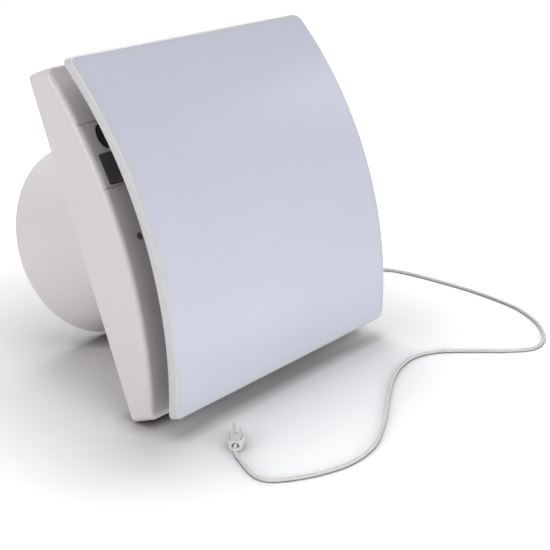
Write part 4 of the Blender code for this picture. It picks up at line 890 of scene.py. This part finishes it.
def smooth_curve(route, count):
    """Evenly spaced points on a centripetal Catmull-Rom curve through the route, and its length."""
    knots = [Vector(p) for p in route]
    knots = [2 * knots[0] - knots[1]] + knots + [2 * knots[-1] - knots[-2]]
    fine = []
    for a, b, c, d in zip(knots, knots[1:], knots[2:], knots[3:]):
        t1 = math.sqrt((b - a).length)
        t2 = t1 + math.sqrt((c - b).length)
        t3 = t2 + math.sqrt((d - c).length)
        for i in range(CURVE_STEPS):
            t = t1 + (t2 - t1) * i / CURVE_STEPS
            p = a.lerp(b, t / t1)
            q = b.lerp(c, (t - t1) / (t2 - t1))
            r = c.lerp(d, (t - t2) / (t3 - t2))
            u = p.lerp(q, t / t2)
            v = q.lerp(r, (t - t1) / (t3 - t1))
            fine.append(u.lerp(v, (t - t1) / (t2 - t1)))
    fine.append(knots[-2])
    lengths = [0]
    for a, b in zip(fine, fine[1:]):
        lengths.append(lengths[-1] + (b - a).length)
    points = []
    at = 0
    for i in range(count):
        wanted = lengths[-1] * i / (count - 1)
        while at < len(fine) - 2 and lengths[at + 1] < wanted:
            at += 1
        share = (wanted - lengths[at]) / (lengths[at + 1] - lengths[at])
        points.append(fine[at].lerp(fine[at + 1], min(share, 1)))
    return points, lengths[-1]


def connector_point(along, across, height):
    """A point of the connector in the table's frame."""
    c = math.cos(CONNECTOR_HEADING)
    s = math.sin(CONNECTOR_HEADING)
    return (CONNECTOR_X + along * c - across * s, CONNECTOR_Y + along * s + across * c, height)


def cord_route():
    """The cord's points, from the bush over the table into the connector's keyhole."""
    exit_point = UPRIGHT @ Vector((STEM_END + GAP, PULL_Y, PULL_Z))
    straight = exit_point + Vector((CORD_RADIUS * 5, 0, 0))
    hole = KEYHOLE_HEIGHT
    laid = [Vector((x, y, CORD_LIE + height)) for x, y, height in CORD_ROUTE]
    ends = [
        connector_point(-CORD_RADIUS * 5, -CORD_RADIUS * 0.5, CORD_LIE + (hole - CORD_LIE) * 0.35),
        connector_point(-CORD_RADIUS * 2, 0, hole - CORD_RADIUS * 0.15),
        connector_point(KNOT_DEPTH - KNOT_RADIUS - GAP, 0, hole),
    ]
    return [exit_point, straight] + [TABLE @ Vector(point) for point in laid + ends]


def make_cord(connector, knot):
    """A twisted cord: its section has a lobe for each strand, which turns as it goes along."""
    points, length = smooth_curve(cord_route(), CORD_SECTIONS)
    bm = bmesh.new()
    sides = CORD_STRANDS * CORD_STRAND_STEPS
    across = Vector((0, 0, 1))
    rows = []
    for i, point in enumerate(points):
        ahead = (points[min(i + 1, len(points) - 1)] - points[max(i - 1, 0)]).normalized()
        across = (across - ahead * across.dot(ahead)).normalized()
        other = ahead.cross(across)
        twist = 2 * math.pi * length * i / (len(points) - 1) / CORD_TWIST
        row = []
        for j in range(sides):
            angle = 2 * math.pi * j / sides
            lobe = abs(math.sin((angle - twist) * CORD_STRANDS / 2))
            radius = CORD_RADIUS * (1 - CORD_GROOVE * (1 - lobe) ** 2)
            row.append(bm.verts.new(point + radius * (math.cos(angle) * across + math.sin(angle) * other)))
        rows.append(row)
    skin(bm, rows)
    for row, point in ((rows[0], points[0]), (rows[-1], points[-1])):
        middle = bm.verts.new(point)
        for j in range(sides):
            bm.faces.new((row[j], row[(j + 1) % sides], middle))
    cord = dress(new_object("twisted_cord", bm, LEVEL), "cord_white", "pull", "pull_cord")


def make_knot():
    """The cord's end, tied in a tight overhand knot: a ball with the turns of the cord round it."""
    bm = bmesh.new()
    bmesh.ops.create_uvsphere(bm, u_segments=48, v_segments=32, radius=KNOT_RADIUS)
    for vert in bm.verts:
        around = math.atan2(vert.co.y, vert.co.x)
        groove = abs(math.sin(around * 1.5 + vert.co.z / KNOT_RADIUS * 2.2))
        vert.co *= 1 - KNOT_GROOVE + KNOT_GROOVE * math.sqrt(groove)
    moved(bm, connector_point(KNOT_DEPTH, 0, KEYHOLE_HEIGHT))
    return dress(new_object("tied_knot", bm, TABLE), "cord_white", "pull", "cord_knot")


def make_connector():
    """The barbed clip on the cord's end, with the keyhole that holds the knot."""
    barb = CONNECTOR_BARB_AT
    slot = CONNECTOR_SLOT / 2
    nose = CONNECTOR_NOSE / 2
    waist = CONNECTOR_WAIST / 2
    outline = (
        (0, -nose * 0.6), (nose * 0.25, -nose * 0.86), (nose * 0.75, -nose), (barb, -CONNECTOR_BARB / 2),
        (barb, -waist), (CONNECTOR_SHORT_ARM, -waist * 0.75), (CONNECTOR_SHORT_ARM, -slot),
        (barb * 0.9, -slot), (barb * 0.9, slot),
        (CONNECTOR_LONG_ARM, slot), (CONNECTOR_LONG_ARM, waist * 0.8), (barb, waist),
        (barb, CONNECTOR_BARB / 2), (nose * 0.75, nose), (nose * 0.25, nose * 0.86), (0, nose * 0.6),
    )
    top = TABLE_GAP + CONNECTOR_HEIGHT
    clip = prism(soften(outline, radius=0.0006, steps=3), TABLE_GAP, top, connector_point)
    body = new_object("barbed_clip", clip, TABLE)
    round_hole = [(a, b + KEYHOLE_HEIGHT) for a, b in circle(KEYHOLE_RADIUS, SMALL_SIDES)]
    hole = prism(round_hole, -CUT_EXTRA, KEYHOLE_DEPTH, lambda a, b, h: connector_point(h, a, b))
    width = CORD_RADIUS * 0.7
    way = rectangle((-width, width), (-CUT_EXTRA, KEYHOLE_HEIGHT))
    cuts = [hole, prism(way, -CUT_EXTRA, KEYHOLE_DEPTH * 0.5, lambda a, b, h: connector_point(h, a, b))]
    for side in (-1, 1):
        near = side * nose * 0.82
        far = side * (waist + CONNECTOR_SLIT / 2)
        slit = ((nose * 0.5, near), (nose * 0.5, near + CONNECTOR_SLIT),
                (barb + CUT_EXTRA, far + CONNECTOR_SLIT), (barb + CUT_EXTRA, far))
        cuts.append(prism(slit, top - CONNECTOR_SLIT_DEPTH, top + CUT_EXTRA, connector_point))
    carve(body, cuts=cuts)
    return dress(body, "natural_white", "pull", "cord_connector", bevel=0.0004)


def make_front_cover():
    arch = COVER_ARCH
    inside = COVER_EDGE_DEPTH - COVER_SHEET
    rings = front_edge(arch, COVER_EDGE_DEPTH, COVER_SIDE_ROUND, COVER_EDGE_ROUND)
    rings += free_edge(COVER_EDGE_WALL, COVER_FREE_ROUND, lambda z: arch_depth(arch, z))
    rings += inner_fillet(COVER_EDGE_WALL, COVER_FILLET, lambda z: arch_depth(arch, z) + inside)
    cover = new_object("glossy_cover", tray(COVER_WIDTH, COVER_HEIGHT, COVER_CORNER, rings))
    pegs = []
    for x, z in corners_of(PEG_SPREAD_X, PEG_SPREAD_Z):
        root = -(arch_depth(arch, z) + inside + COVER_SHEET / 2)
        tip = -arch_depth(BODY_ARCH, z) + PEG_ENGAGEMENT
        skirt = root + COVER_SHEET
        profile = ((0, root), (PEG_RADIUS * 1.5, root), (PEG_RADIUS * 1.5, skirt),
                   (PEG_RADIUS, skirt + PEG_RADIUS / 2), (PEG_RADIUS, tip), (0, tip))
        pegs.append(moved(turned(profile, SMALL_SIDES, ring=False, corner=0.0009), (x, 0, z)))
    reach_x = PEG_SPREAD_X / 2 + PEG_RADIUS * 2
    reach_z = PEG_SPREAD_Z / 2 + PEG_RADIUS * 2
    behind = arched_slab((-reach_x, reach_x), (-reach_z, reach_z), inside + COVER_SHEET / 2,
                         -COVER_AIR_GAP - PEG_ENGAGEMENT * 2, arch, ARCH_STEPS)
    trimmed = carve(carve(new_object("pegs", pegs[0]), pegs[1:]), keep=[behind])
    carve(cover, joins=[mesh_copy(trimmed)])
    dress(cover, "gloss_white", "cover", "front_cover")


def make_front_casing():
    arch = BODY_ARCH
    rings = front_edge(arch, 0, CASING_SHOULDER, CASING_END_ROUND)
    rings += free_edge(CASING_WALL, CASING_FREE_ROUND, lambda z: 0)
    rings += inner_fillet(CASING_WALL, CASING_FILLET, lambda z: arch_depth(arch, z) - CASING_WALL)
    casing = new_object("arched_casing", tray(BODY_WIDTH, BODY_HEIGHT, BODY_CORNER, rings))

    collar_radius = COLLAR_BORE + COLLAR_WALL
    tube = rectangle((COLLAR_BORE, collar_radius), (FOREMOST, GUARD_REAR + COLLAR_LENGTH))
    collar = new_object("collar", turned(tube, FINE_SIDES))
    reach = (-collar_radius - CUT_EXTRA, collar_radius + CUT_EXTRA)
    carve(collar, keep=[arched_slab(reach, reach, -CASING_WALL / 2, -arch.end, steps=ARCH_STEPS)])
    joins = [mesh_copy(collar)]
    cuts = [rod(DUCT_BORE - GAP, FOREMOST - CUT_EXTRA, 0, sides=FINE_SIDES)]
    for x, z in corners_of(PEG_SPREAD_X, PEG_SPREAD_Z):
        front = -arch_depth(arch, z)
        bore = PEG_RADIUS + GAP
        joins.append(rod(bore + SOCKET_WALL, front + CASING_WALL / 2, front + SOCKET_DEPTH, x, z))
        cuts.append(rod(bore, front - CUT_EXTRA, front + SOCKET_DEPTH + CUT_EXTRA, x, z))
    for x in (-CASING_SCREW_X, CASING_SCREW_X):
        joins.append(rod(BOSS_RADIUS, FOREMOST + CASING_WALL / 2, SEAT, x))
        cuts.append(rod(ACCESS_HOLE_RADIUS, FOREMOST - CUT_EXTRA, SEAT + CUT_EXTRA, x))
        cuts.append(rod(BOSS_BORE, FOREMOST + ACCESS_SKIN, CASING_SCREW_SEAT, x))
    window = rounded_rectangle((PANEL_FACE_LEFT, PANEL_RIGHT), (PANEL_BOTTOM, PANEL_TOP), corner=0.0012)
    cuts.append(prism(window, FOREMOST, -arch.end, along_y))
    wrap = (PANEL_WRAP_LEFT, PANEL_RIGHT)
    cuts.append(arched_slab(wrap, (PANEL_BOTTOM, PANEL_TOP), CUT_EXTRA, -PANEL_SKIN))
    span = (INNER_HALF - CUT_EXTRA, HALF_WIDTH + CUT_EXTRA)
    cuts.append(cross_rod(BUSH_BODY_RADIUS + GAP, *span, PULL_Y, PULL_Z))
    carve(casing, joins, cuts)
    dress(casing, "satin_white", "root", "front_casing", bevel=0.00012)


def make_back_plate():
    half_w = INNER_HALF - GAP
    half_h = HALF_HEIGHT - CASING_WALL - GAP
    outline = rounded_rectangle((-half_w, half_w), (-half_h, half_h), BODY_CORNER - CASING_WALL)
    plate = new_object("rear_plate", prism(outline, PLATE_FRONT, 0, along_y))
    through = (PLATE_FRONT - CUT_EXTRA, CUT_EXTRA)
    joins = []
    cuts = [rod(SPIGOT_RADIUS + GAP, *through, sides=FINE_SIDES)]
    cuts += rods(WALL_HOLE_RADIUS, *through, corners_of(WALL_HOLE_SPREAD_X, WALL_HOLE_SPREAD_Z))
    posts = (POST_RADIUS, POST_HEIGHT, post_places())
    feet = (CLAMP_SCREW_INSET - GAP, CLAMP_FOOT, clamp_screw_places())
    for radius, height, places in (posts, feet):
        joins += rods(radius, PLATE_FRONT - height, PLATE_FRONT + OVERLAP, places)
        cuts += rods(SCREW_RADIUS + GAP, PLATE_FRONT - height - CUT_EXTRA, PLATE_FRONT, places)
    cuts += rods(ACCESS_HOLE_RADIUS, *through, ((-CASING_SCREW_X, 0), (CASING_SCREW_X, 0)))
    cuts += rods(GROMMET_RADIUS, *through, [grommet_place()], ROUND_SIDES)
    carve(plate, joins, cuts)
    dress(plate, "satin_white", "root", "back_plate", bevel=0.0003)


def terminal_middle():
    return (-INNER_HALF + TERMINAL_SIDE_GAP + TERMINAL_WIDTH / 2,
            -HALF_HEIGHT + CASING_WALL + TERMINAL_SIDE_GAP + TERMINAL_HEIGHT / 2)


def clamp_screw_places():
    x, z = terminal_middle()
    reach = CLAMP_WIDTH / 2 - CLAMP_SCREW_INSET
    return ((x - reach, z + CLAMP_RISE), (x + reach, z + CLAMP_RISE))


def grommet_place():
    x, z = terminal_middle()
    return x, z + GROMMET_RISE


def post_places():
    left = -INNER_HALF + BOARD_SIDE_GAP
    height = HALF_HEIGHT - BOARD_BELOW_EDGE - BOARD_EDGE
    return ((left + BOARD_EDGE, height), (left + BOARD_WIDTH - BOARD_EDGE, height))


def make_duct_spigot():
    """The round tube. Its fine rim is as wide as the flat that it stands on."""
    outer = RIM_DROP
    flange = SPIGOT_RADIUS + FLANGE_WIDTH
    ledge = DUCT_BORE - DUCT_LEDGE_HEIGHT
    ledge_front = BRACKET_REAR + GAP
    profile = (
        (DUCT_BORE, DUCT_FRONT), (outer, DUCT_FRONT), (outer, SEAT - FLANGE_THICKNESS),
        (flange, SEAT - FLANGE_THICKNESS), (flange, SEAT), (outer, SEAT),
        (outer, SPIGOT_LENGTH), (DUCT_BORE, SPIGOT_LENGTH),
        (DUCT_BORE, ledge_front + DUCT_LEDGE_LENGTH + DUCT_LEDGE_HEIGHT),
        (ledge, ledge_front + DUCT_LEDGE_LENGTH), (ledge, ledge_front), (DUCT_BORE, ledge_front),
    )
    spigot = new_object("round_spigot", turned(profile, FINE_SIDES, corner=0.0006))
    dress(spigot, "satin_white", "root", "duct_spigot")


def make_inlet_guard():
    span = (GUARD_FRONT, GUARD_REAR)
    rim_bore = SPIGOT_RADIUS - GUARD_LIP
    rim = rectangle((rim_bore, SPIGOT_RADIUS), span)
    guard = new_object("ring_guard", turned(rim, FINE_SIDES, corner=0.0005))
    pitch = (rim_bore - GUARD_HUB_RADIUS) / (GUARD_RINGS + 1)
    half = GUARD_BAR / 2
    joins = []
    for number in range(GUARD_RINGS):
        middle = GUARD_HUB_RADIUS + pitch * (number + 1)
        joins.append(turned(rectangle((middle - half, middle + half), span), RING_SIDES, corner=0.0006))
    section = soften(rectangle(span, (-half, half)), radius=0.0006)
    joins += spokes(section, GUARD_HUB_RADIUS - OVERLAP * 2, rim_bore + OVERLAP * 2, GUARD_SPOKES)
    joins.append(turned(rectangle((0, GUARD_HUB_RADIUS), span), ring=False, corner=0.0007))
    carve(guard, joins)
    dress(guard, "satin_white", "root", "inlet_guard")


def make_motor_bracket():
    cup = (
        (CUP_BORE, CAP_FRONT), (CUP_RADIUS, CAP_FRONT), (CUP_RADIUS, CUP_REAR), (BEARING_SEAT, CUP_REAR),
        (BEARING_SEAT, CUP_REAR - CUP_FLOOR), (CUP_BORE, CUP_REAR - CUP_FLOOR),
    )
    bracket = new_object("motor_cup", turned(cup, FINE_SIDES, corner=0.0007))
    front = BRACKET_REAR - BRACKET_RING_LENGTH
    ring = rectangle((BRACKET_RADIUS - BRACKET_RING_WALL, BRACKET_RADIUS), (front, BRACKET_REAR))
    joins = [turned(ring, FINE_SIDES, corner=0.0004)]
    half = STRUT_THICKNESS / 2
    section = soften(rectangle((front + GAP, BRACKET_REAR - GAP), (-half, half)), radius=0.0008)
    joins += spokes(section, CUP_RADIUS - CUP_WALL / 2, BRACKET_RADIUS - BRACKET_RING_WALL / 2, STRUT_COUNT)
    cuts = [rod(MOTOR_SCREW_RADIUS + GAP, CAN_REAR - CUT_EXTRA, CUP_REAR + CUT_EXTRA, x)
            for x in (-MOTOR_SCREW_SPREAD / 2, MOTOR_SCREW_SPREAD / 2)]
    carve(bracket, joins, cuts)
    dress(bracket, "satin_white", "root", "motor_bracket")


def blade(front, rear):
    """One twisted blade with a thick middle and thin edges, from inside the hub's wall to its tip."""
    bm = bmesh.new()
    sections = []
    for station in range(BLADE_SPANS + 1):
        radius = HUB_RADIUS - HUB_WALL / 2 + (BLADE_TIP - HUB_RADIUS + HUB_WALL / 2) * station / BLADE_SPANS
        out = (radius - HUB_RADIUS) / (BLADE_TIP - HUB_RADIUS)
        sweep = BLADE_SWEEP_HUB + (BLADE_SWEEP_TIP - BLADE_SWEEP_HUB) * out
        upper = []
        lower = []
        for i in range(BLADE_CHORDS + 1):
            share = i / BLADE_CHORDS
            angle = sweep * (share - 0.5)
            y = front + (rear - front) * (share + BLADE_CAMBER * math.sin(math.pi * share))
            thick = BLADE_EDGE_SHARE + (1 - BLADE_EDGE_SHARE) * math.sin(math.pi * share)
            half = BLADE_THICKNESS / 2 * thick
            for side, row in ((1, upper), (-1, lower)):
                at = angle + side * half / radius
                row.append(bm.verts.new((radius * math.sin(at), y - side * half, radius * math.cos(at))))
        sections.append(upper + lower[::-1])
    skin(bm, sections)
    strips(bm, sections[0])
    strips(bm, sections[-1])
    return bm


def make_fan_wheel():
    bore = SHAFT_RADIUS + GAP
    boss = bore + BOSS_WALL
    boss_rear = HUB_REAR - HUB_TO_MOTOR
    profile = (
        (bore, HUB_FRONT), (HUB_RADIUS - HUB_ROUND, HUB_FRONT),
        (HUB_RADIUS - HUB_ROUND * 0.3, HUB_FRONT + HUB_ROUND * 0.3), (HUB_RADIUS, HUB_FRONT + HUB_ROUND),
        (HUB_RADIUS, HUB_REAR), (HUB_RADIUS - HUB_WALL, HUB_REAR),
        (HUB_RADIUS - HUB_WALL, HUB_FRONT + HUB_ROUND), (HUB_RADIUS - HUB_ROUND, HUB_FRONT + HUB_WALL),
        (boss, HUB_FRONT + HUB_WALL), (boss, boss_rear), (bore, boss_rear),
    )
    wheel = new_object("fan_blades", turned(profile, FINE_SIDES, corner=0.0012))
    middle = (HUB_FRONT + HUB_ROUND + HUB_REAR) / 2
    blades = []
    for number in range(BLADE_COUNT):
        one = blade(middle - BLADE_AXIAL / 2, middle + BLADE_AXIAL / 2)
        blades.append(moved(one, turn=about_y(2 * math.pi * number / BLADE_COUNT)))
    carve(wheel, blades)
    dress(wheel, "satin_white", "fan_wheel", "impeller")


def button_oval(margin):
    """A bar through the front with the button's oval outline, widened by a margin."""
    outline = [(BUTTON_X + a * (BUTTON_HALF_WIDTH + margin), BUTTON_Z + b * (BUTTON_HALF_HEIGHT + margin))
               for a, b in circle(1, ROUND_SIDES)]
    return prism(outline, FOREMOST - CUT_EXTRA, 0, along_y)


def make_control_panel():
    """The inset panel, whose face follows the casing over its shoulder, with its lip and its window."""
    right = PANEL_RIGHT - PANEL_SIDE_SEAM
    z_span = (PANEL_BOTTOM + GAP, PANEL_TOP - GAP)
    deep = FOREMOST - CUT_EXTRA
    rings = front_edge(BODY_ARCH, 0, CASING_SHOULDER, CASING_END_ROUND)
    outside = tray(BODY_WIDTH, BODY_HEIGHT, BODY_CORNER, rings + [(0, 0, lambda z: 0)])
    face = arched_slab((PANEL_WRAP_LEFT + PANEL_SIDE_SEAM, right), z_span, 0, -(PANEL_SKIN - PANEL_SIDE_SEAM))
    panel = carve(new_object("inset_panel", face), keep=[outside])
    core = arched_slab((PANEL_FACE_LEFT + GAP, PANEL_RIGHT - GAP), z_span, -PANEL_SKIN / 2,
                       -(CASING_WALL + GAP + PANEL_LIP_THICKNESS / 2))
    lip_front = CASING_WALL + GAP
    lip_x = (PANEL_FACE_LEFT, PANEL_RIGHT + PANEL_LIP)
    lip_z = (z_span[0] - PANEL_LIP, z_span[1] + PANEL_LIP)
    lip = arched_slab(lip_x, lip_z, -lip_front, -(lip_front + PANEL_LIP_THICKNESS))
    opening = rounded_rectangle((DISPLAY_LEFT - GAP, DISPLAY_RIGHT + GAP),
                                (DISPLAY_BOTTOM - GAP, DISPLAY_TOP + GAP), corner=0.0014)
    carve(panel, [core, lip], [prism(opening, deep, 0, along_y), button_oval(GAP)])
    dress(panel, "satin_white", "root", "control_panel", bevel=0.0001)

    across = (DISPLAY_LEFT, DISPLAY_RIGHT)
    upright = (DISPLAY_BOTTOM, DISPLAY_TOP)
    window = new_object("smoked_window", arched_slab(across, upright, 0, -DISPLAY_THICKNESS))
    carve(window, keep=[prism(rounded_rectangle(across, upright, corner=0.0012), deep, 0, along_y)])
    dress(window, "display_dark", "root", "display_window", bevel=0.0002)


def make_button():
    behind = CASING_WALL + GAP + PANEL_LIP_THICKNESS + GAP
    half_width = BUTTON_HALF_WIDTH + BUTTON_LIP + CUT_EXTRA
    half_height = BUTTON_HALF_HEIGHT + BUTTON_LIP + CUT_EXTRA
    across = (BUTTON_X - half_width, BUTTON_X + half_width)
    upright = (BUTTON_Z - half_height, BUTTON_Z + half_height)
    front = arched_slab(across, upright, BUTTON_PROUD, -(behind + BUTTON_LIP_THICKNESS / 2))
    button = carve(new_object("oval_button", front), keep=[button_oval(0)])
    lip = new_object("button_lip", arched_slab(across, upright, -behind, -(behind + BUTTON_LIP_THICKNESS)))
    carve(lip, keep=[button_oval(BUTTON_LIP)])
    stem_front = -(arch_depth(BODY_ARCH, BUTTON_Z) - behind)
    stem_rear = SEAT - POST_HEIGHT - BOARD_THICKNESS - GAP - SWITCH_HEIGHT - BUTTON_TRAVEL - GAP
    stem = rod(BUTTON_STEM_RADIUS, stem_front, stem_rear, BUTTON_X, BUTTON_Z)
    carve(button, [mesh_copy(lip), stem])
    dress(button, "button_black", "button", "mode_button", bevel=0.0004)


def make_cord_bush():
    bore = STEM_RADIUS + GAP
    bush_left = INNER_HALF - BUSH_LENGTH + CASING_WALL
    profile = (
        (bore, BUSH_FACE), (BUSH_LIP_RADIUS, BUSH_FACE), (BUSH_LIP_RADIUS, HALF_WIDTH + GAP),
        (BUSH_BODY_RADIUS, HALF_WIDTH + GAP), (BUSH_BODY_RADIUS, bush_left), (bore, bush_left),
    )
    bush = new_object("round_bush", moved(turned(profile, corner=0.0003), (0, PULL_Y, PULL_Z), ALONG_X))
    dress(bush, "natural_white", "root", "cord_bush")


def make_pull_spring():
    """The plunger's coil spring, which shortens by the plunger's travel when the cord is pulled."""
    low, high = (Vector(corner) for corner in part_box("pull_spring"))
    middle = (low + high) / 2
    radius = (high.y - low.y) / 2 - SPRING_WIRE
    start = low.x + SPRING_WIRE
    length = high.x - low.x
    steps = SPRING_TURNS * SMALL_SIDES
    bm = bmesh.new()
    rings = []
    for i in range(steps + 1):
        angle = 2 * math.pi * SPRING_TURNS * i / steps
        outward = Vector((0, math.cos(angle), math.sin(angle)))
        x = start + (length - 2 * SPRING_WIRE) * i / steps
        centre = Vector((x, middle.y, middle.z)) + outward * radius
        ring = []
        for j in range(SPRING_WIRE_SIDES):
            turn = 2 * math.pi * j / SPRING_WIRE_SIDES
            offset = outward * math.cos(turn) + Vector((1, 0, 0)) * math.sin(turn)
            ring.append(bm.verts.new(centre + offset * SPRING_WIRE))
        rings.append(ring)
    skin(bm, rings)
    bm.faces.new(rings[0])
    bm.faces.new(rings[-1])
    spring = dress(new_object("coil_spring", bm, LEVEL), "bright_steel", "root", "pull_spring")
    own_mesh(spring)


def make_grommet():
    x, z = grommet_place()
    lip = GROMMET_RADIUS + GROMMET_GROOVE
    inner = GROMMET_RADIUS - GAP
    profile = (
        (GROMMET_BORE, SEAT - GROMMET_GROOVE), (lip, SEAT - GROMMET_GROOVE), (lip, SEAT), (inner, SEAT),
        (inner, -GAP), (GROMMET_BORE, -GAP),
    )
    grommet = new_object("rubber_grommet", moved(turned(profile, corner=0.0004), (x, 0, z)))
    dress(grommet, "rubber_black", "root", "cable_grommet")


def cross_screw(name, node, place, head_radius, shank_radius, shank_length, turn=None):
    """A pan-head screw that points along +y from the underside of its head, with a cross recess."""
    head = SCREW_HEAD_HEIGHT
    shoulder = -head * 0.45
    profile = (
        (0, -head), (head_radius * 0.6, -head), (head_radius, shoulder), (head_radius, 0), (shank_radius, 0),
        (shank_radius, shank_length - shank_radius), (0, shank_length),
    )
    screw = new_object(name, moved(turned(profile, ring=False, corner=0.0004), place, turn))
    half = shank_radius * 0.22
    reach = shank_radius * 0.95
    slots = []
    for x, z in ((reach, half), (half, reach)):
        slot = prism(rectangle((-x, x), (-z, z)), -head - CUT_EXTRA, shoulder, along_y)
        slots.append(moved(slot, place, turn))
    carve(screw, cuts=slots)
    dress(screw, "bright_steel", "root", node)


def make_visible_screws():
    for number, x in enumerate((-MOTOR_SCREW_SPREAD / 2, MOTOR_SCREW_SPREAD / 2)):
        length = CUP_REAR + GAP - (CAN_REAR - MOTOR_FLOOR) + MOTOR_SCREW_RADIUS
        cross_screw(f"cross_screw_motor_{number + 1}", f"motor_screw_{number + 1}", (x, CUP_REAR + GAP, 0),
                    MOTOR_SCREW_RADIUS * 2, MOTOR_SCREW_RADIUS, length, FACING_BACK)
    for side, x in (("left", -CASING_SCREW_X), ("right", CASING_SCREW_X)):
        cross_screw(f"cross_screw_casing_{side}", f"casing_screw_{side}", (x, CASING_SCREW_SEAT - GAP, 0),
                    BOSS_BORE - GAP, ACCESS_HOLE_RADIUS - GAP, CASING_SCREW_LENGTH)


def finish_carried_over():
    for slot, names in CARRIED_OVER.items():
        for name in names:
            for material_slot in frame["nodes"][name].material_slots:
                material_slot.material = MATERIALS[slot]


# Stage

def add_camera():
    """The photograph's view. It looks along +y at a yaw of zero."""
    level = math.cos(CAMERA_PITCH)
    ahead = Vector((-math.sin(CAMERA_YAW) * level, math.cos(CAMERA_YAW) * level, -math.sin(CAMERA_PITCH)))
    right = ahead.cross(Vector((0, 0, 1))).normalized()
    upward = right.cross(ahead)
    c = math.cos(CAMERA_ROLL)
    s = math.sin(CAMERA_ROLL)
    right, upward = c * right + s * upward, c * upward - s * right
    camera = bpy.data.objects.new("camera", bpy.data.cameras.new("camera"))
    camera.data.lens = CAMERA_LENS
    camera.data.sensor_width = SENSOR
    camera.data.sensor_fit = "HORIZONTAL"
    camera.data.clip_start = 0.01
    turn = Matrix((right, upward, -ahead)).transposed().to_4x4()
    camera.matrix_world = Matrix.Translation(CAMERA_PLACE) @ turn
    bpy.context.scene.collection.objects.link(camera)
    bpy.context.scene.camera = camera


def light_path(tree):
    """One where the camera, a reflection or a refraction looks, zero for other light."""
    rays = tree.nodes.new("ShaderNodeLightPath").outputs
    seen = calculate(tree, "MAXIMUM", rays["Is Camera Ray"], rays["Is Glossy Ray"])
    return calculate(tree, "MAXIMUM", seen, rays["Is Transmission Ray"])


def add_world():
    """A trace of light from all sides. The backdrop past the floor is white and turns to grey overhead."""
    world = bpy.data.worlds.new("studio")
    world.use_nodes = True
    tree = world.node_tree
    ambient = tree.nodes["Background"]
    set_inputs(tree, ambient, {"Color": WHITE, "Strength": AMBIENT})
    height = add_node(tree, "SeparateXYZ", "Z", {"Vector": add_node(tree, "TexCoord", "Generated")})
    overhead = spread(tree, height, GREY_FROM, GREY_TO, shape="LINEAR")
    backdrop = mixed_colour(tree, overhead, WHITE, OVERHEAD_GREY)
    seen = add_node(tree, "Background", "Background", {"Color": backdrop})
    surface = mixed_shader(tree, light_path(tree), ambient.outputs["Background"], seen)
    set_inputs(tree, tree.nodes["World Output"], {"Surface": surface})
    bpy.context.scene.world = world


def add_floor():
    """A pale floor. To the camera and in reflections it is lifted, so that it is white where no shadow falls,
    but less near the object, which paints shade round it, and painted contact shade darkens it where the
    object nearly touches it. Far away it is plain white."""
    bm = bmesh.new()
    bmesh.ops.create_circle(bm, cap_ends=True, segments=RING_SIDES, radius=FLOOR_RADIUS)
    floor = new_object("studio_floor", bm, LEVEL)
    material, tree, shader, place = new_material("pale_floor", FLOOR_COLOUR, 0.7)
    vary_colour(tree, shader, clouds(tree, place, 0.4), FLOOR_COLOUR, shade(FLOOR_COLOUR, 0.99))
    set_inputs(tree, shader, {"Specular IOR Level": 0.2})
    away = add_node(tree, "VectorMath", "Value", {0: place}, operation="LENGTH")
    # The smaller lift near the object paints shade round it
    lift = spread(tree, away, FLOOR_NEAR, FLOOR_FAR, FLOOR_LIFT_NEAR, FLOOR_LIFT_FAR)
    # Painted contact shade: ambient occlusion darkens the floor's colour where the object nearly touches it
    painted_contact_shade = add_node(tree, "AmbientOcclusion", "AO", {"Distance": PAINTED_CONTACT_REACH})
    whiteness = calculate(tree, "MULTIPLY", calculate(tree, "ADD", FLOOR_COLOUR[0], lift), painted_contact_shade)
    table = add_node(tree, "BsdfDiffuse", "BSDF", {"Color": whiteness})
    beyond = add_node(tree, "Emission", "Emission")
    seen = mixed_shader(tree, spread(tree, away, FLOOR_FAR, FLOOR_END), table, beyond)
    surface = mixed_shader(tree, light_path(tree), shader.outputs["BSDF"], seen)
    set_inputs(tree, tree.nodes["Material Output"], {"Surface": surface})
    floor.data.materials.append(material)


def add_softbox(name, place, size, power):
    """A square lamp that faces the object and isn't seen itself. A small one makes no reflection either."""
    light = bpy.data.lights.new(name, "AREA")
    light.shape = "SQUARE"
    light.size = size
    light.energy = power
    obj = bpy.data.objects.new(name, light)
    place = Vector(place)
    turn = (Vector(LIT_POINT) - place).to_track_quat("-Z", "Y")
    obj.matrix_world = Matrix.Translation(place) @ turn.to_matrix().to_4x4()
    obj.visible_camera = False
    obj.visible_glossy = size > SMALL_SOFTBOX
    bpy.context.scene.collection.objects.link(obj)


bpy.context.scene.view_settings.view_transform = "Standard"
add_camera()
add_world()
add_floor()
for name, place, size, power in SOFTBOXES:
    add_softbox(name, place, size, power)

make_cord(make_connector(), make_knot())
make_front_cover()
make_front_casing()
make_back_plate()
make_duct_spigot()
make_inlet_guard()
make_motor_bracket()
make_fan_wheel()
make_control_panel()
make_button()
make_cord_bush()
make_pull_spring()
make_grommet()
make_visible_screws()
finish_carried_over()
